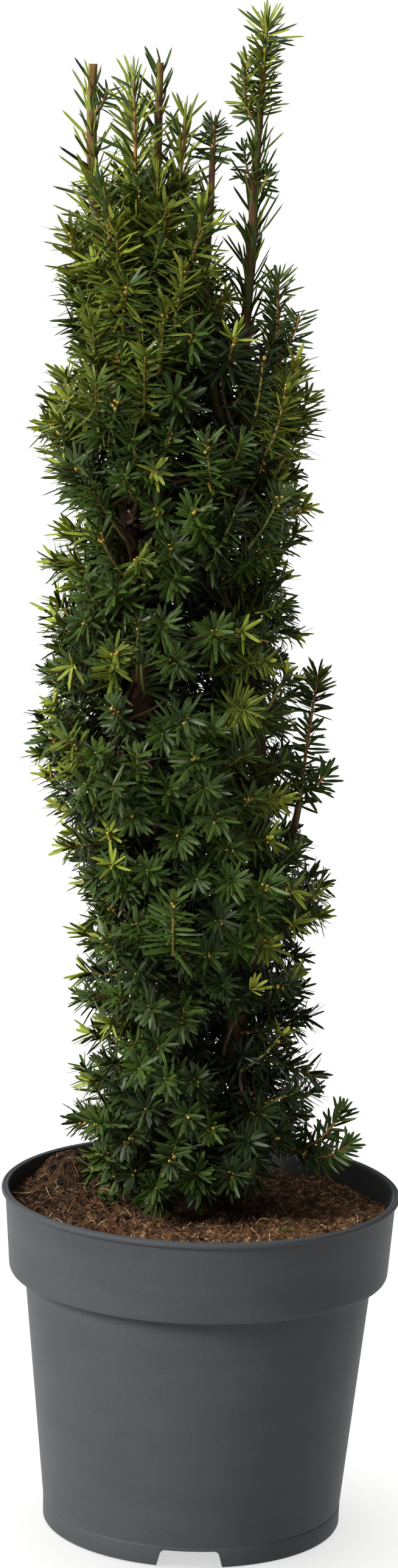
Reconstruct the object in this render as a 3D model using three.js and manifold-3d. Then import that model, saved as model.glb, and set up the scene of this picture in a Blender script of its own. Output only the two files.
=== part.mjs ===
// A fastigiate English yew in a nursery container: pot, growing medium, stems, boughs and masses of foliage.
// Millimetres, +Z up. The origin is on the pot's axis, at the underside of its foot ring.
// +X is to the right and -Y to the front, the side of the pot with a drainage notch.
import * as THREE from "three";
import { mergeVertices } from "three/addons/utils/BufferGeometryUtils.js";
import Module from "manifold-3d";

const wasm = await Module();
wasm.setup();

// ---------- Driving dimensions ----------
const POT_HEIGHT = 233;
const RIM_RADIUS = 135; // outside of the rolled lip
const SOIL_LEVEL = 216; // flat spot where the trunk stands
const CROWN_FOOT = 231; // lowest foliage
const CROWN_TOP = 918; // top of the crown's foliage, at the left-hand column
const RIGHT_COLUMN_TOP = 818; // top of the right-hand column of foliage
const GAP = 0.4; // clearance between two pieces that meet

const group = new THREE.Group();

// ---------- Small tools ----------

// A seeded source of numbers between 0 and 1.
function seeded(seed) {
  let state = seed >>> 0;
  return () => {
    state = (state + 0x6d2b79f5) >>> 0;
    let t = state;
    t = Math.imul(t ^ (t >>> 15), t | 1);
    t ^= t + Math.imul(t ^ (t >>> 7), t | 61);
    return ((t ^ (t >>> 14)) >>> 0) / 4294967296;
  };
}

// A three.js geometry as a solid, with its shared vertices merged and collapsed triangles dropped.
function solidOf(geometry) {
  const bare = geometry.index ? geometry.toNonIndexed() : geometry.clone();
  bare.deleteAttribute("normal");
  bare.deleteAttribute("uv");
  const merged = mergeVertices(bare, 1e-3);
  const kept = [];
  const index = merged.index.array;
  for (let i = 0; i < index.length; i += 3) {
    const [a, b, c] = [index[i], index[i + 1], index[i + 2]];
    if (a !== b && b !== c && a !== c) kept.push(a, b, c);
  }
  const mesh = new wasm.Mesh({
    numProp: 3,
    vertProperties: new Float32Array(merged.attributes.position.array),
    triVerts: new Uint32Array(kept),
  });
  return new wasm.Manifold(mesh);
}

function geometryOf(solid) {
  const mesh = solid.getMesh();
  return new THREE.BufferGeometry()
    .setAttribute("position", new THREE.BufferAttribute(new Float32Array(mesh.vertProperties), 3))
    .setIndex(new THREE.BufferAttribute(new Uint32Array(mesh.triVerts), 1));
}

// The largest of a solid's separate bodies: loose scraps are dropped.
function largestBody(solid) {
  return solid.decompose().reduce((a, b) => (b.volume() > a.volume() ? b : a));
}

function addPiece(name, solid, material) {
  const mesh = new THREE.Mesh(geometryOf(solid), material);
  mesh.name = name;
  group.add(mesh);
}

// A geometry from points and triangles given as arrays.
function geometryFrom(points, triangles) {
  return new THREE.BufferGeometry()
    .setAttribute("position", new THREE.Float32BufferAttribute(points.flatMap((p) => [p.x, p.y, p.z]), 3))
    .setIndex(triangles);
}

// The value at x of a piecewise straight line through rows [x, value].
function lineThrough(rows, x) {
  if (x <= rows[0][0]) return rows[0][1];
  for (let i = 1; i < rows.length; i++) {
    const [x0, v0] = rows[i - 1];
    const [x1, v1] = rows[i];
    if (x <= x1) return v0 + ((v1 - v0) * (x - x0)) / (x1 - x0);
  }
  return rows[rows.length - 1][1];
}

// ---------- Pot: injection-moulded container with a deep collar, rolled lip and notched foot ring ----------
const POT_SEGMENTS = 40;
const WALL = 2;
const FOOT_HEIGHT = 14;
const COLLAR_FOOT = POT_HEIGHT - 56.5; // underside of the collar
const COLLAR_RADIUS = { top: 132.3, foot: 128.4 };
const BODY_RADIUS = { top: 118.2, foot: 101.7 };
const LIP_DEPTH = 4;
const FLOOR_TOP = FOOT_HEIGHT;
const NOTCH = { count: 3, height: 11.5, topWidth: 38, footWidth: 46 };
const potPlastic = new THREE.MeshStandardMaterial({ color: 0x4b4f51, roughness: 0.55, metalness: 0 });

function potSolid() {
  const collarInnerTop = COLLAR_RADIUS.top - WALL;
  const ledgeTop = COLLAR_FOOT + WALL + 0.5;
  const profile = [
    [0, FLOOR_TOP - WALL],
    [BODY_RADIUS.foot - WALL - 0.6, FLOOR_TOP - WALL],
    [BODY_RADIUS.foot - WALL - 0.6, 0],
    [BODY_RADIUS.foot - 0.6, 0],
    [BODY_RADIUS.foot, 0.8],
    [BODY_RADIUS.foot, FOOT_HEIGHT],
    [BODY_RADIUS.foot - 0.3, FOOT_HEIGHT + 0.4],
    [BODY_RADIUS.top, COLLAR_FOOT],
    [COLLAR_RADIUS.foot - 1.2, COLLAR_FOOT],
    [COLLAR_RADIUS.foot, COLLAR_FOOT + 1.2],
    [COLLAR_RADIUS.top, POT_HEIGHT - LIP_DEPTH],
    [RIM_RADIUS - 0.7, POT_HEIGHT - LIP_DEPTH + 0.5],
    [RIM_RADIUS, POT_HEIGHT - LIP_DEPTH / 2],
    [RIM_RADIUS - 1.2, POT_HEIGHT - 0.4],
    [RIM_RADIUS - 3, POT_HEIGHT],
    [collarInnerTop - 0.6, POT_HEIGHT - 0.6],
    [collarInnerTop - 0.3, POT_HEIGHT - LIP_DEPTH],
    [COLLAR_RADIUS.foot - WALL, ledgeTop],
    [BODY_RADIUS.top - WALL, ledgeTop - 0.6],
    [BODY_RADIUS.foot - WALL, FLOOR_TOP + 1.5],
    [BODY_RADIUS.foot - WALL - 1.5, FLOOR_TOP],
    [0, FLOOR_TOP],
  ].map(([r, z]) => new THREE.Vector2(r, z));
  let pot = solidOf(new THREE.LatheGeometry(profile, POT_SEGMENTS).rotateX(Math.PI / 2));
  // drainage notches through the foot ring
  const outline = new THREE.Shape([
    new THREE.Vector2(-NOTCH.footWidth / 2, -1),
    new THREE.Vector2(NOTCH.footWidth / 2, -1),
    new THREE.Vector2(NOTCH.topWidth / 2 + 1, NOTCH.height - 2),
    new THREE.Vector2(NOTCH.topWidth / 2 - 2, NOTCH.height),
    new THREE.Vector2(-NOTCH.topWidth / 2 + 2, NOTCH.height),
    new THREE.Vector2(-NOTCH.topWidth / 2 - 1, NOTCH.height - 2),
  ]);
  for (let k = 0; k < NOTCH.count; k++) {
    const cutter = new THREE.ExtrudeGeometry(outline, { depth: 40, bevelEnabled: false, steps: 1 })
      .translate(0, 0, 75)
      .rotateX(Math.PI / 2)
      .rotateZ((2 * Math.PI * k) / NOTCH.count);
    pot = pot.subtract(solidOf(cutter));
  }
  return pot;
}
addPiece("pot", potSolid(), potPlastic);

// ---------- Growing medium: peat and coir that fills the pot to just under its lip ----------
const SOIL_SECTORS = 32;
const TRUNK_FOOT = new THREE.Vector3(-5, 0, SOIL_LEVEL + 0.3);
const MOUND = { x: -92, y: 50, radius: 26, height: 17 };
const soilBrown = new THREE.MeshStandardMaterial({ color: 0x4a3122, roughness: 0.95, metalness: 0 });

// Height of the medium at a point. It is level round the trunk and rolls by a few millimetres further out.
function soilHeight(x, y) {
  const r = Math.hypot(x, y);
  const away = THREE.MathUtils.smoothstep(r, 30, 75);
  const slope = 3.5 + 0.028 * -x - 0.03 * y;
  const rolls = 2.2 * Math.sin(x * 0.061 + 0.7) * Math.cos(y * 0.053 - 0.4) + 1.4 * Math.sin((x + y) * 0.11);
  const far = Math.hypot(x - MOUND.x, y - MOUND.y) / MOUND.radius;
  const mound = MOUND.height * Math.exp(-far * far * 1.4);
  return SOIL_LEVEL + away * (slope + rolls + mound);
}

function soilSolid() {
  const innerRadius = (z) =>
    lineThrough(
      [
        [FLOOR_TOP, BODY_RADIUS.foot - WALL],
        [COLLAR_FOOT + WALL + 0.5, BODY_RADIUS.top - WALL],
        [COLLAR_FOOT + WALL + 0.6, COLLAR_RADIUS.foot - WALL],
        [POT_HEIGHT, COLLAR_RADIUS.top - WALL - 0.3],
      ],
      z,
    );
  const clear = 1.1; // covers the pot's flat facets
  const rings = [30, 55, 78, 98, 114];
  const points = [new THREE.Vector3(0, 0, SOIL_LEVEL)];
  const at = (r, k, z) => {
    const a = (2 * Math.PI * k) / SOIL_SECTORS;
    return new THREE.Vector3(r * Math.cos(a), r * Math.sin(a), z ?? soilHeight(r * Math.cos(a), r * Math.sin(a)));
  };
  for (const r of rings) for (let k = 0; k < SOIL_SECTORS; k++) points.push(at(r, k));
  const sides = [
    (k) => {
      const top = at(COLLAR_RADIUS.top - WALL, k).z;
      return at(innerRadius(Math.min(top, POT_HEIGHT - 3)) - clear, k, Math.min(top, POT_HEIGHT - 3));
    },
    (k) => at(COLLAR_RADIUS.foot - WALL - clear, k, COLLAR_FOOT + WALL + 1.5),
    (k) => at(BODY_RADIUS.top - WALL - clear, k, COLLAR_FOOT + WALL + 0.9),
    (k) => at(BODY_RADIUS.foot - WALL - clear - 1, k, FLOOR_TOP + 1.2),
  ];
  for (const side of sides) for (let k = 0; k < SOIL_SECTORS; k++) points.push(side(k));
  points.push(new THREE.Vector3(0, 0, FLOOR_TOP + 1.2));
  const last = points.length - 1;
  const ringCount = rings.length + sides.length;
  const v = (ring, k) => 1 + ring * SOIL_SECTORS + (k % SOIL_SECTORS);
  const triangles = [];
  for (let k = 0; k < SOIL_SECTORS; k++) {
    triangles.push(0, v(0, k), v(0, k + 1));
    for (let ring = 0; ring < ringCount - 1; ring++) {
      triangles.push(v(ring, k), v(ring + 1, k), v(ring + 1, k + 1));
      triangles.push(v(ring, k), v(ring + 1, k + 1), v(ring, k + 1));
    }
    triangles.push(last, v(ringCount - 1, k + 1), v(ringCount - 1, k));
  }
  return solidOf(geometryFrom(points, triangles));
}
addPiece("growing_medium", soilSolid(), soilBrown);

// ---------- Stems and boughs: each is one tapering limb along a smooth curve ----------
const bark = new THREE.MeshStandardMaterial({ color: 0x5c3c2b, roughness: 0.9, metalness: 0 });
const youngBark = new THREE.MeshStandardMaterial({ color: 0x7a5a35, roughness: 0.8, metalness: 0 });
const point = (x, y, z) => new THREE.Vector3(x, y, z);

// One limb: its course, its radius at the foot and tip, and how much its foot flares.
function limb(name, course, footRadius, tipRadius, options = {}) {
  const curve = new THREE.CatmullRomCurve3(course, false, "centripetal");
  const flare = options.flare ?? 0;
  return {
    name,
    curve,
    steps: options.steps ?? 10,
    sides: options.sides ?? 7,
    flatFoot: options.flatFoot ?? false,
    parent: options.parent,
    material: options.material ?? bark,
    needles: options.needles,
    radiusAt: (t) => footRadius + (tipRadius - footRadius) * t + flare * Math.exp(-t * 22),
  };
}

const trunk = limb(
  "trunk",
  [
    TRUNK_FOOT,
    point(-8, 0, 262),
    point(-29, 2, 400),
    point(-47, -3, 550),
    point(-60, 2, 675),
    point(-73, -2, 770),
    point(-85, 1, 858),
    point(-92, 2, 944),
    point(-92, 2, 981),
  ],
  10.5,
  3.4,
  { flare: 6, steps: 18, sides: 8, flatFoot: true, needles: { from: 0.86, count: 13 } },
);
const rightStem = limb(
  "right_stem",
  [
    point(-9, 0, 270),
    point(12, 3, 318),
    point(30, 2, 405),
    point(27, -3, 560),
    point(17, 2, 690),
    point(12, 3, 806),
    point(14, 1, 857),
    point(15, -1, 908),
    point(17, 0, 958),
  ],
  8,
  2.3,
  { steps: 16, sides: 7, parent: trunk, needles: { from: 0.86, count: 13 } },
);
const middleBough = limb(
  "middle_bough",
  [point(-63, 0, 700), point(-54, 9, 770), point(-50, 11, 867), point(-49, 12, 906), point(-49, 12, 983)],
  4,
  2.4,
  { steps: 8, sides: 6, parent: trunk, material: youngBark, needles: { from: 0.8, count: 9 } },
);
const innerBough = limb(
  "inner_bough",
  [point(14, 2, 715), point(-5, -6, 765), point(-15, -8, 848), point(-13, -8, 900), point(-13, -8, 930)],
  3.6,
  1.9,
  { steps: 8, sides: 6, parent: rightStem, material: youngBark, needles: { from: 0.56, count: 11 } },
);
const sideBough = limb(
  "side_bough",
  [point(28, -3, 420), point(44, -7, 445), point(54, -8, 480), point(58, -8, 505)],
  3,
  2.2,
  { steps: 5, sides: 6, parent: rightStem, material: youngBark },
);
const limbs = [trunk, rightStem, middleBough, innerBough, sideBough];

// The closed tube of a limb, grown by extra on its sides and ends.
function limbSolid(one, extra = 0) {
  const points = [];
  const triangles = [];
  const { steps, sides } = one;
  for (let i = 0; i <= steps; i++) {
    const t = i / steps;
    const centre = one.curve.getPointAt(t);
    const along = i === 0 && one.flatFoot ? point(0, 0, 1) : one.curve.getTangentAt(t);
    if (i === 0) centre.addScaledVector(along, -extra);
    if (i === steps) centre.addScaledVector(along, extra);
    const across = point(0, 1, 0).cross(along).normalize();
    const third = along.clone().cross(across);
    for (let k = 0; k < sides; k++) {
      const a = (2 * Math.PI * k) / sides;
      const reach = one.radiusAt(t) + extra;
      points.push(
        centre
          .clone()
          .addScaledVector(across, reach * Math.cos(a))
          .addScaledVector(third, reach * Math.sin(a)),
      );
    }
  }
  const v = (ring, k) => ring * sides + (k % sides);
  for (let i = 0; i < steps; i++) {
    for (let k = 0; k < sides; k++) {
      triangles.push(v(i, k), v(i, k + 1), v(i + 1, k + 1));
      triangles.push(v(i, k), v(i + 1, k + 1), v(i + 1, k));
    }
  }
  for (let k = 1; k < sides - 1; k++) {
    triangles.push(v(0, 0), v(0, k + 1), v(0, k));
    triangles.push(v(steps, 0), v(steps, k), v(steps, k + 1));
  }
  return solidOf(geometryFrom(points, triangles));
}

// The point of a limb at a height, by halving.
function limbAtHeight(one, z) {
  let [low, high] = [0, 1];
  for (let i = 0; i < 24; i++) {
    const middle = (low + high) / 2;
    if (one.curve.getPointAt(middle).z < z) low = middle;
    else high = middle;
  }
  return one.curve.getPointAt(low);
}

// ---------- The crown: two upright columns of foliage that have grown together, one round each stem ----------
// Each row holds a height and how far the foliage reaches there, to the left and to the right.
const CROWN_REACH = [
  [CROWN_FOOT - 3, -60, 52],
  [248, -86, 72],
  [271, -96, 80],
  [300, -90, 80],
  [335, -83, 73],
  [365, -88, 76],
  [398, -90, 72],
  [439, -91, 82],
  [462, -102, 75],
  [485, -104, 58],
  [522, -119, 60],
  [563, -121, 58],
  [604, -118, 58],
  [644, -115, 50],
  [668, -112, 50],
  [688, -98, 61],
  [708, -109, 63],
  [728, -118, 53],
  [745, -127, 55],
  [768, -120, 59],
  [790, -108, 57],
  [806, -102, 45],
  [822, -109, 8],
  [860, -113, 2],
  [884, -108, -16],
  [905, -102, -16],
  [CROWN_TOP, -90, -40],
];
const DEPTH_SHARE = 0.84; // the crown's depth over its width
const FULLNESS = 2.5; // of its cross-section: 2 would be an ellipse, and more is squarer
const leftReach = (z) => lineThrough(CROWN_REACH.map((row) => [row[0], row[1]]), z);
const rightReach = (z) => lineThrough(CROWN_REACH.map((row) => [row[0], row[2]]), z);

// How far out a point lies in the crown: 0 on its axis and 1 at the tips of its needles.
function crownShare(p) {
  if (p.z < CROWN_FOOT - 3 || p.z > CROWN_TOP) return Infinity;
  const [left, right] = [leftReach(p.z), rightReach(p.z)];
  const halfWidth = (right - left) / 2;
  const across = Math.abs(p.x - (left + right) / 2) / halfWidth;
  const deep = Math.abs(p.y) / (DEPTH_SHARE * halfWidth);
  return (across ** FULLNESS + deep ** FULLNESS) ** (1 / FULLNESS);
}

// The masses of the two columns: a front one and a back one in each tier, the back ones a little higher.
const TIERS = 5;
const STAGGER = { front: 0, back: 0.22 };
const COLUMNS = [
  { name: "left", foot: CROWN_FOOT, top: CROWN_TOP },
  { name: "right", foot: CROWN_FOOT + 9, top: RIGHT_COLUMN_TOP },
];
function columnMasses() {
  const found = [];
  for (const column of COLUMNS) {
    const height = (column.top - column.foot) / (TIERS + STAGGER.back);
    for (let tier = 0; tier < TIERS; tier++) {
      for (const [side, towards] of [["front", -1], ["back", 1]]) {
        const z = column.foot + (tier + 0.5 + STAGGER[side]) * height;
        const between = (limbAtHeight(trunk, z).x + limbAtHeight(rightStem, Math.max(z, 300)).x) / 2;
        const [low, high] = column.name === "left" ? [leftReach(z), between] : [between, rightReach(z)];
        const y = (towards * 0.45 * DEPTH_SHARE * (rightReach(z) - leftReach(z))) / 2;
        const centre = point((low + high) / 2, y, z);
        const half = point((high - low) / 2, Math.abs(y), height / 2); // half its size along each axis
        found.push({ name: `foliage_${column.name}_${tier + 1}_${side}`, centre, half });
      }
    }
  }
  return found;
}
const masses = columnMasses();

// The flat walls between a mass and the others, each halfway between two middles.
for (const mass of masses) {
  mass.walls = masses
    .filter((other) => other !== mass)
    .map((other) => {
      const apart = other.centre.clone().sub(mass.centre);
      return { at: apart.length() / 2, normal: apart.normalize() };
    });
}

// How far a mass can go from its middle along a unit direction before it meets the wall of a neighbour.
const WALL_MARGIN = 0.8;
const roomAlong = (mass, dir) =>
  mass.walls.reduce((room, wall) => {
    const facing = wall.normal.dot(dir);
    return facing > 1e-6 ? Math.min(room, (wall.at - WALL_MARGIN) / facing) : room;
  }, Infinity);

// How far it is from a mass's middle to the crown's surface along a unit direction.
function surfaceAlong(mass, dir) {
  const inside = (t) => crownShare(mass.centre.clone().addScaledVector(dir, t)) < 1;
  let far = 0;
  while (far < 250 && inside(far + 5)) far += 5;
  let near = far;
  far += 5;
  for (let i = 0; i < 8; i++) {
    const middle = (near + far) / 2;
    if (inside(middle)) near = middle;
    else far = middle;
  }
  return near;
}
const insideMass = (mass, p) => {
  const out = p.clone().sub(mass.centre);
  return crownShare(p) < 1.03 && mass.walls.every((wall) => wall.normal.dot(out) < wall.at - WALL_MARGIN);
};

// The dense heart of a mass: a block drawn in or out, corner by corner, to a little under the crown's surface.
const CORE_DEPTH = 16; // how far the sprays stand out of it
const CORE_SEGMENTS = 3; // along each side of the block
const coreReach = (mass, dir, share = 1) =>
  Math.min(Math.max(surfaceAlong(mass, dir) - CORE_DEPTH * share, 8), roomAlong(mass, dir));
function coreSolid(mass, random) {
  const { x, y, z } = mass.half;
  const segments = [CORE_SEGMENTS, CORE_SEGMENTS, CORE_SEGMENTS];
  const block = mergeVertices(bareGeometry(new THREE.BoxGeometry(2 * x, 2 * y, 2 * z, ...segments)), 1e-4);
  const at = block.getAttribute("position");
  for (let i = 0; i < at.count; i++) {
    const dir = new THREE.Vector3().fromBufferAttribute(at, i).normalize();
    const reach = coreReach(mass, dir, 0.8 + 0.4 * random());
    at.setXYZ(i, ...dir.multiplyScalar(reach).add(mass.centre).toArray());
  }
  return solidOf(block);
}

function bareGeometry(geometry) {
  geometry.deleteAttribute("normal");
  geometry.deleteAttribute("uv");
  return geometry;
}

// Leafy shoots that stand out of the crown's top and sides: the limb each grows on, where its leafy part starts
// and ends, the reach of its needles and the radius of its rod. One with a seat height springs from the side of
// its limb there, and the others go on from the limb's tip.
const SPIRES = [
  { name: "shoot_tall_tip", on: rightStem, foot: point(17, 0, 958), tip: point(20, 0, 1006), reach: 16, rod: 2.2 },
  { name: "shoot_inner_tip", on: innerBough, foot: point(-13, -8, 930), tip: point(-12, -8, 946), reach: 13, rod: 1.8 },
  {
    name: "shoot_left_spire",
    on: middleBough,
    seatHeight: 856,
    foot: point(-62, -14, 905),
    tip: point(-65, -14, 978),
    reach: 18,
    rod: 2.2,
  },
  {
    name: "shoot_right_spire",
    on: innerBough,
    seatHeight: 852,
    foot: point(-34, -6, 900),
    tip: point(-32, -6, 957),
    reach: 18,
    rod: 2.2,
  },
  {
    name: "shoot_right_edge",
    on: rightStem,
    seatHeight: 776,
    foot: point(33, -5, 812),
    tip: point(32, -5, 848),
    reach: 15,
    rod: 2,
  },
  { name: "shoot_side", on: sideBough, foot: point(58, -8, 505), tip: point(67, -8, 590), reach: 13, rod: 2.1 },
  {
    name: "shoot_low_sprig",
    on: rightStem,
    seatHeight: 300,
    foot: point(66, -14, 270),
    tip: point(93, -17, 292),
    reach: 13,
    rod: 1.8,
  },
];
const spireSpaces = SPIRES.map((s) => ({
  centre: s.foot.clone().add(s.tip).multiplyScalar(0.5),
  semi: point(s.reach, s.reach, s.foot.distanceTo(s.tip) / 2 + 10),
}));
const inASpire = (p) =>
  spireSpaces.some((space) => p.clone().sub(space.centre).divide(space.semi).length() < 1.15);

// Half of a spray's toothed outline: the tooth stands for the needles, which point forward from the shoot.
const SPRAY = { length: 50, thickness: 1.8, spine: 2.4, toothFoot: 16, toothTip: 39, toothReach: 20, tipFoot: 30 };
const SPRAY_HALF = [
  [0, SPRAY.spine],
  [SPRAY.toothFoot, SPRAY.spine],
  [SPRAY.toothTip, SPRAY.toothReach],
  [SPRAY.tipFoot, SPRAY.spine],
];

// A spray of needles as a toothed blade from base to tip, turned about its own length by roll.
function spray(base, tip, roll) {
  const along = tip.clone().sub(base).normalize();
  const across = point(0, 0, 1).cross(along).normalize().applyAxisAngle(along, roll);
  const third = along.clone().cross(across);
  const outline = [
    ...SPRAY_HALF.map(([s, w]) => new THREE.Vector2(s, -w)),
    new THREE.Vector2(SPRAY.length, 0),
    ...SPRAY_HALF.toReversed().map(([s, w]) => new THREE.Vector2(s, w)),
  ];
  const frame = new THREE.Matrix4().makeBasis(along, across, third).setPosition(base);
  const blade = new THREE.ExtrudeGeometry(new THREE.Shape(outline), {
    depth: SPRAY.thickness,
    bevelEnabled: false,
    steps: 1,
  }).translate(0, 0, -SPRAY.thickness / 2);
  return {
    geometry: blade.applyMatrix4(frame),
    corners: outline.map((p) => point(p.x, p.y, 0).applyMatrix4(frame)),
  };
}

// True if a point is nearer than clear to the side of a limb.
function nearLimb(p, clear) {
  return limbs.some((one) =>
    one.samples.some((s) => s.centre.distanceTo(p) < s.radius + clear),
  );
}
for (const one of limbs) {
  one.samples = Array.from({ length: 61 }, (_, i) => ({
    centre: one.curve.getPointAt(i / 60),
    radius: one.radiusAt(i / 60),
  }));
}

const SPRAYS_A_MASS = 7;
const SPRAY_SPACING = 30; // least distance between two tips
const SPRAY_TURNS = [[1, -0.4], [0.75, 0.3], [1.15, -0.7], [0.5, 0.6], [0.2, -0.9]]; // lift and roll, tried in turn
const DIRECTIONS = 160;
const GOLDEN = Math.PI * (3 - Math.sqrt(5));

// The place on a limb that a mass hangs on: where the limb lies deepest within the mass's walls.
function seatOf(mass) {
  let best = null;
  for (const one of limbs) {
    for (const { centre, radius } of one.samples) {
      const out = centre.clone().sub(mass.centre);
      const pastWalls = Math.max(...mass.walls.map((wall) => wall.normal.dot(out) - wall.at));
      const score = Math.max(pastWalls, 90 * (crownShare(centre) - 0.8)) - radius + 0.05 * out.length();
      if (!best || score < best.score) best = { score, centre };
    }
  }
  return best.centre;
}

// The level way out of the crown at a point near its surface.
function outwardsAt(p) {
  const rise = (step) => crownShare(p.clone().add(step)) - crownShare(p.clone().sub(step));
  return point(rise(point(1, 0, 0)), rise(point(0, 1, 0)), 0).normalize();
}

// Places on the crown's surface within a mass, spread evenly by a golden spiral round its middle.
function tipsOf(mass, random) {
  const turn = random() * 2 * Math.PI;
  return Array.from({ length: DIRECTIONS }, (_, i) => {
    const up = 1 - (2 * (i + 0.5)) / DIRECTIONS;
    const flat = Math.sqrt(1 - up * up);
    const dir = point(flat * Math.cos(GOLDEN * i + turn), flat * Math.sin(GOLDEN * i + turn), up);
    const reach = surfaceAlong(mass, dir);
    const tip = mass.centre.clone().addScaledVector(dir, reach);
    return { tip, clear: roomAlong(mass, dir) > reach, rank: random() };
  })
    .filter(({ tip, clear }) => clear && tip.z > CROWN_FOOT + 6)
    .sort((a, b) => b.rank - a.rank);
}

// A mass: its core, the stem that joins it to a limb, and sprays that stand out of the core, outwards and up.
function massSolid(mass, seed) {
  const random = seeded(seed);
  const seat = seatOf(mass);
  const twig = limb("", [seat, seat.clone().lerp(mass.centre, 0.5), mass.centre], 2.6, 2, { steps: 2, sides: 4 });
  let solid = coreSolid(mass, random).add(limbSolid(twig));
  const taken = [];
  for (const { tip } of tipsOf(mass, random)) {
    if (taken.length === SPRAYS_A_MASS) break;
    if (taken.some((other) => other.distanceTo(tip) < SPRAY_SPACING)) continue;
    const outwards = outwardsAt(tip.clone().setZ(Math.min(tip.z, CROWN_TOP - 2)));
    for (const [lift, roll] of SPRAY_TURNS) {
      const along = outwards.clone().multiplyScalar(Math.cos(lift)).setZ(Math.sin(lift));
      const base = tip.clone().addScaledVector(along, -SPRAY.length);
      const blade = spray(base, tip, roll + 0.5 * random());
      const root = base.clone().sub(mass.centre);
      const rooted = root.length() < 0.9 * coreReach(mass, root.clone().normalize(), 1.45);
      const fits = blade.corners.every((p) => insideMass(mass, p) && !inASpire(p) && !nearLimb(p, 2));
      if (!rooted || !fits) continue;
      solid = solid.add(solidOf(blade.geometry));
      taken.push(tip);
      break;
    }
  }
  return solid;
}

// One needle as a slim eight-faced leaf from a point, along a direction.
const NEEDLE = { length: 22, width: 3.4, thickness: 1 };
function needleGeometry(base, dir, length = NEEDLE.length) {
  const across = point(0, 0, 1).cross(dir).normalize();
  const third = dir.clone().cross(across);
  const middle = base.clone().addScaledVector(dir, length * 0.42);
  const points = [
    base,
    middle.clone().addScaledVector(across, NEEDLE.width / 2),
    middle.clone().addScaledVector(third, NEEDLE.thickness / 2),
    middle.clone().addScaledVector(across, -NEEDLE.width / 2),
    middle.clone().addScaledVector(third, -NEEDLE.thickness / 2),
    base.clone().addScaledVector(dir, length),
  ];
  const triangles = [];
  for (let k = 0; k < 4; k++) {
    const [a, b] = [1 + k, 1 + ((k + 1) % 4)];
    triangles.push(0, b, a, 5, a, b);
  }
  return { geometry: geometryFrom(points, triangles), tip: points[5] };
}

// The slim core of a leafy shoot, from its limb to its tip.
function rodOf(spire) {
  const start = spire.seatHeight ? [limbAtHeight(spire.on, spire.seatHeight)] : [];
  const middle = spire.foot.clone().lerp(spire.tip, 0.5);
  return limb("", [...start, spire.foot, middle, spire.tip], spire.rod, 0.9, { steps: 4, sides: 5 });
}

// A leafy shoot: its core with needles in a spiral, splayed less and less towards the tip.
const SPIRE_NEEDLES_PER_MM = 0.2;
function spireSolid(spire, seed) {
  const random = seeded(seed);
  const length = spire.foot.distanceTo(spire.tip);
  const along = spire.tip.clone().sub(spire.foot).normalize();
  const across = point(0, 1, 0).cross(along).normalize();
  const third = along.clone().cross(across);
  let solid = limbSolid(rodOf(spire));
  const count = Math.round(length * SPIRE_NEEDLES_PER_MM) + 3;
  for (let i = 0; i < count; i++) {
    const t = (i + 0.6) / count;
    const a = GOLDEN * i + 0.3 * random();
    const lift = 0.55 + 0.75 * t;
    const dir = across
      .clone()
      .multiplyScalar(Math.cos(a) * Math.cos(lift))
      .addScaledVector(third, Math.sin(a) * Math.cos(lift))
      .addScaledVector(along, Math.sin(lift));
    const reach = (spire.reach / Math.cos(lift)) * (0.85 + 0.15 * random());
    const base = spire.foot.clone().lerp(spire.tip, Math.min(t, 0.96));
    const needle = needleGeometry(base, dir, Math.min(reach, NEEDLE.length));
    if ([0.3, 0.5, 0.75, 1].some((share) => crownShare(base.clone().lerp(needle.tip, share)) < 1.05)) continue;
    solid = solid.add(solidOf(needle.geometry));
  }
  return solid;
}

// ---------- Assembly ----------
const foliageGreen = new THREE.MeshStandardMaterial({ color: 0x2f4a2a, roughness: 0.5, metalness: 0 });
const shootGreen = new THREE.MeshStandardMaterial({ color: 0x6f8a33, roughness: 0.5, metalness: 0 });

// Limbs, each cut clear of the limb it springs from, with needles on those that stand out of the crown.
const inFoliage = (p) => crownShare(p) < 1.08 || inASpire(p);
limbs.forEach((one, index) => {
  let solid = limbSolid(one);
  if (one.needles) {
    const random = seeded(900 + index);
    for (let i = 0; i < one.needles.count; i++) {
      const t = one.needles.from + (0.985 - one.needles.from) * ((i + 0.5) / one.needles.count);
      const a = GOLDEN * i + random();
      const dir = point(Math.cos(a) * 0.62, Math.sin(a) * 0.62, 0.78).normalize();
      const base = one.curve.getPointAt(t);
      const needle = needleGeometry(base, dir);
      if ([0, 0.25, 0.5, 0.75, 1].some((share) => inFoliage(base.clone().lerp(needle.tip, share)))) continue;
      if (needle.tip.z > one.samples[60].centre.z + 14) continue;
      solid = solid.add(solidOf(needle.geometry));
    }
  }
  if (one.parent) solid = largestBody(solid.subtract(limbSolid(one.parent, GAP)));
  addPiece(one.name, solid, one.material);
});

const limbRoom = limbs.map((one) => limbSolid(one, GAP)).reduce((a, b) => a.add(b));
const rodRoom = SPIRES.map((spire) => limbSolid(rodOf(spire), 2)).reduce((a, b) => a.add(b));
masses.forEach((mass, index) => {
  const whole = massSolid(mass, 11 + 7 * index);
  addPiece(mass.name, largestBody(whole.subtract(limbRoom).subtract(rodRoom)), foliageGreen);
});
SPIRES.forEach((spire, index) => {
  addPiece(spire.name, largestBody(spireSolid(spire, 501 + 13 * index).subtract(limbRoom)), shootGreen);
});

export default group;
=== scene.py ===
import math

import bpy
import numpy as np
from mathutils import Matrix, Vector, noise


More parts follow.
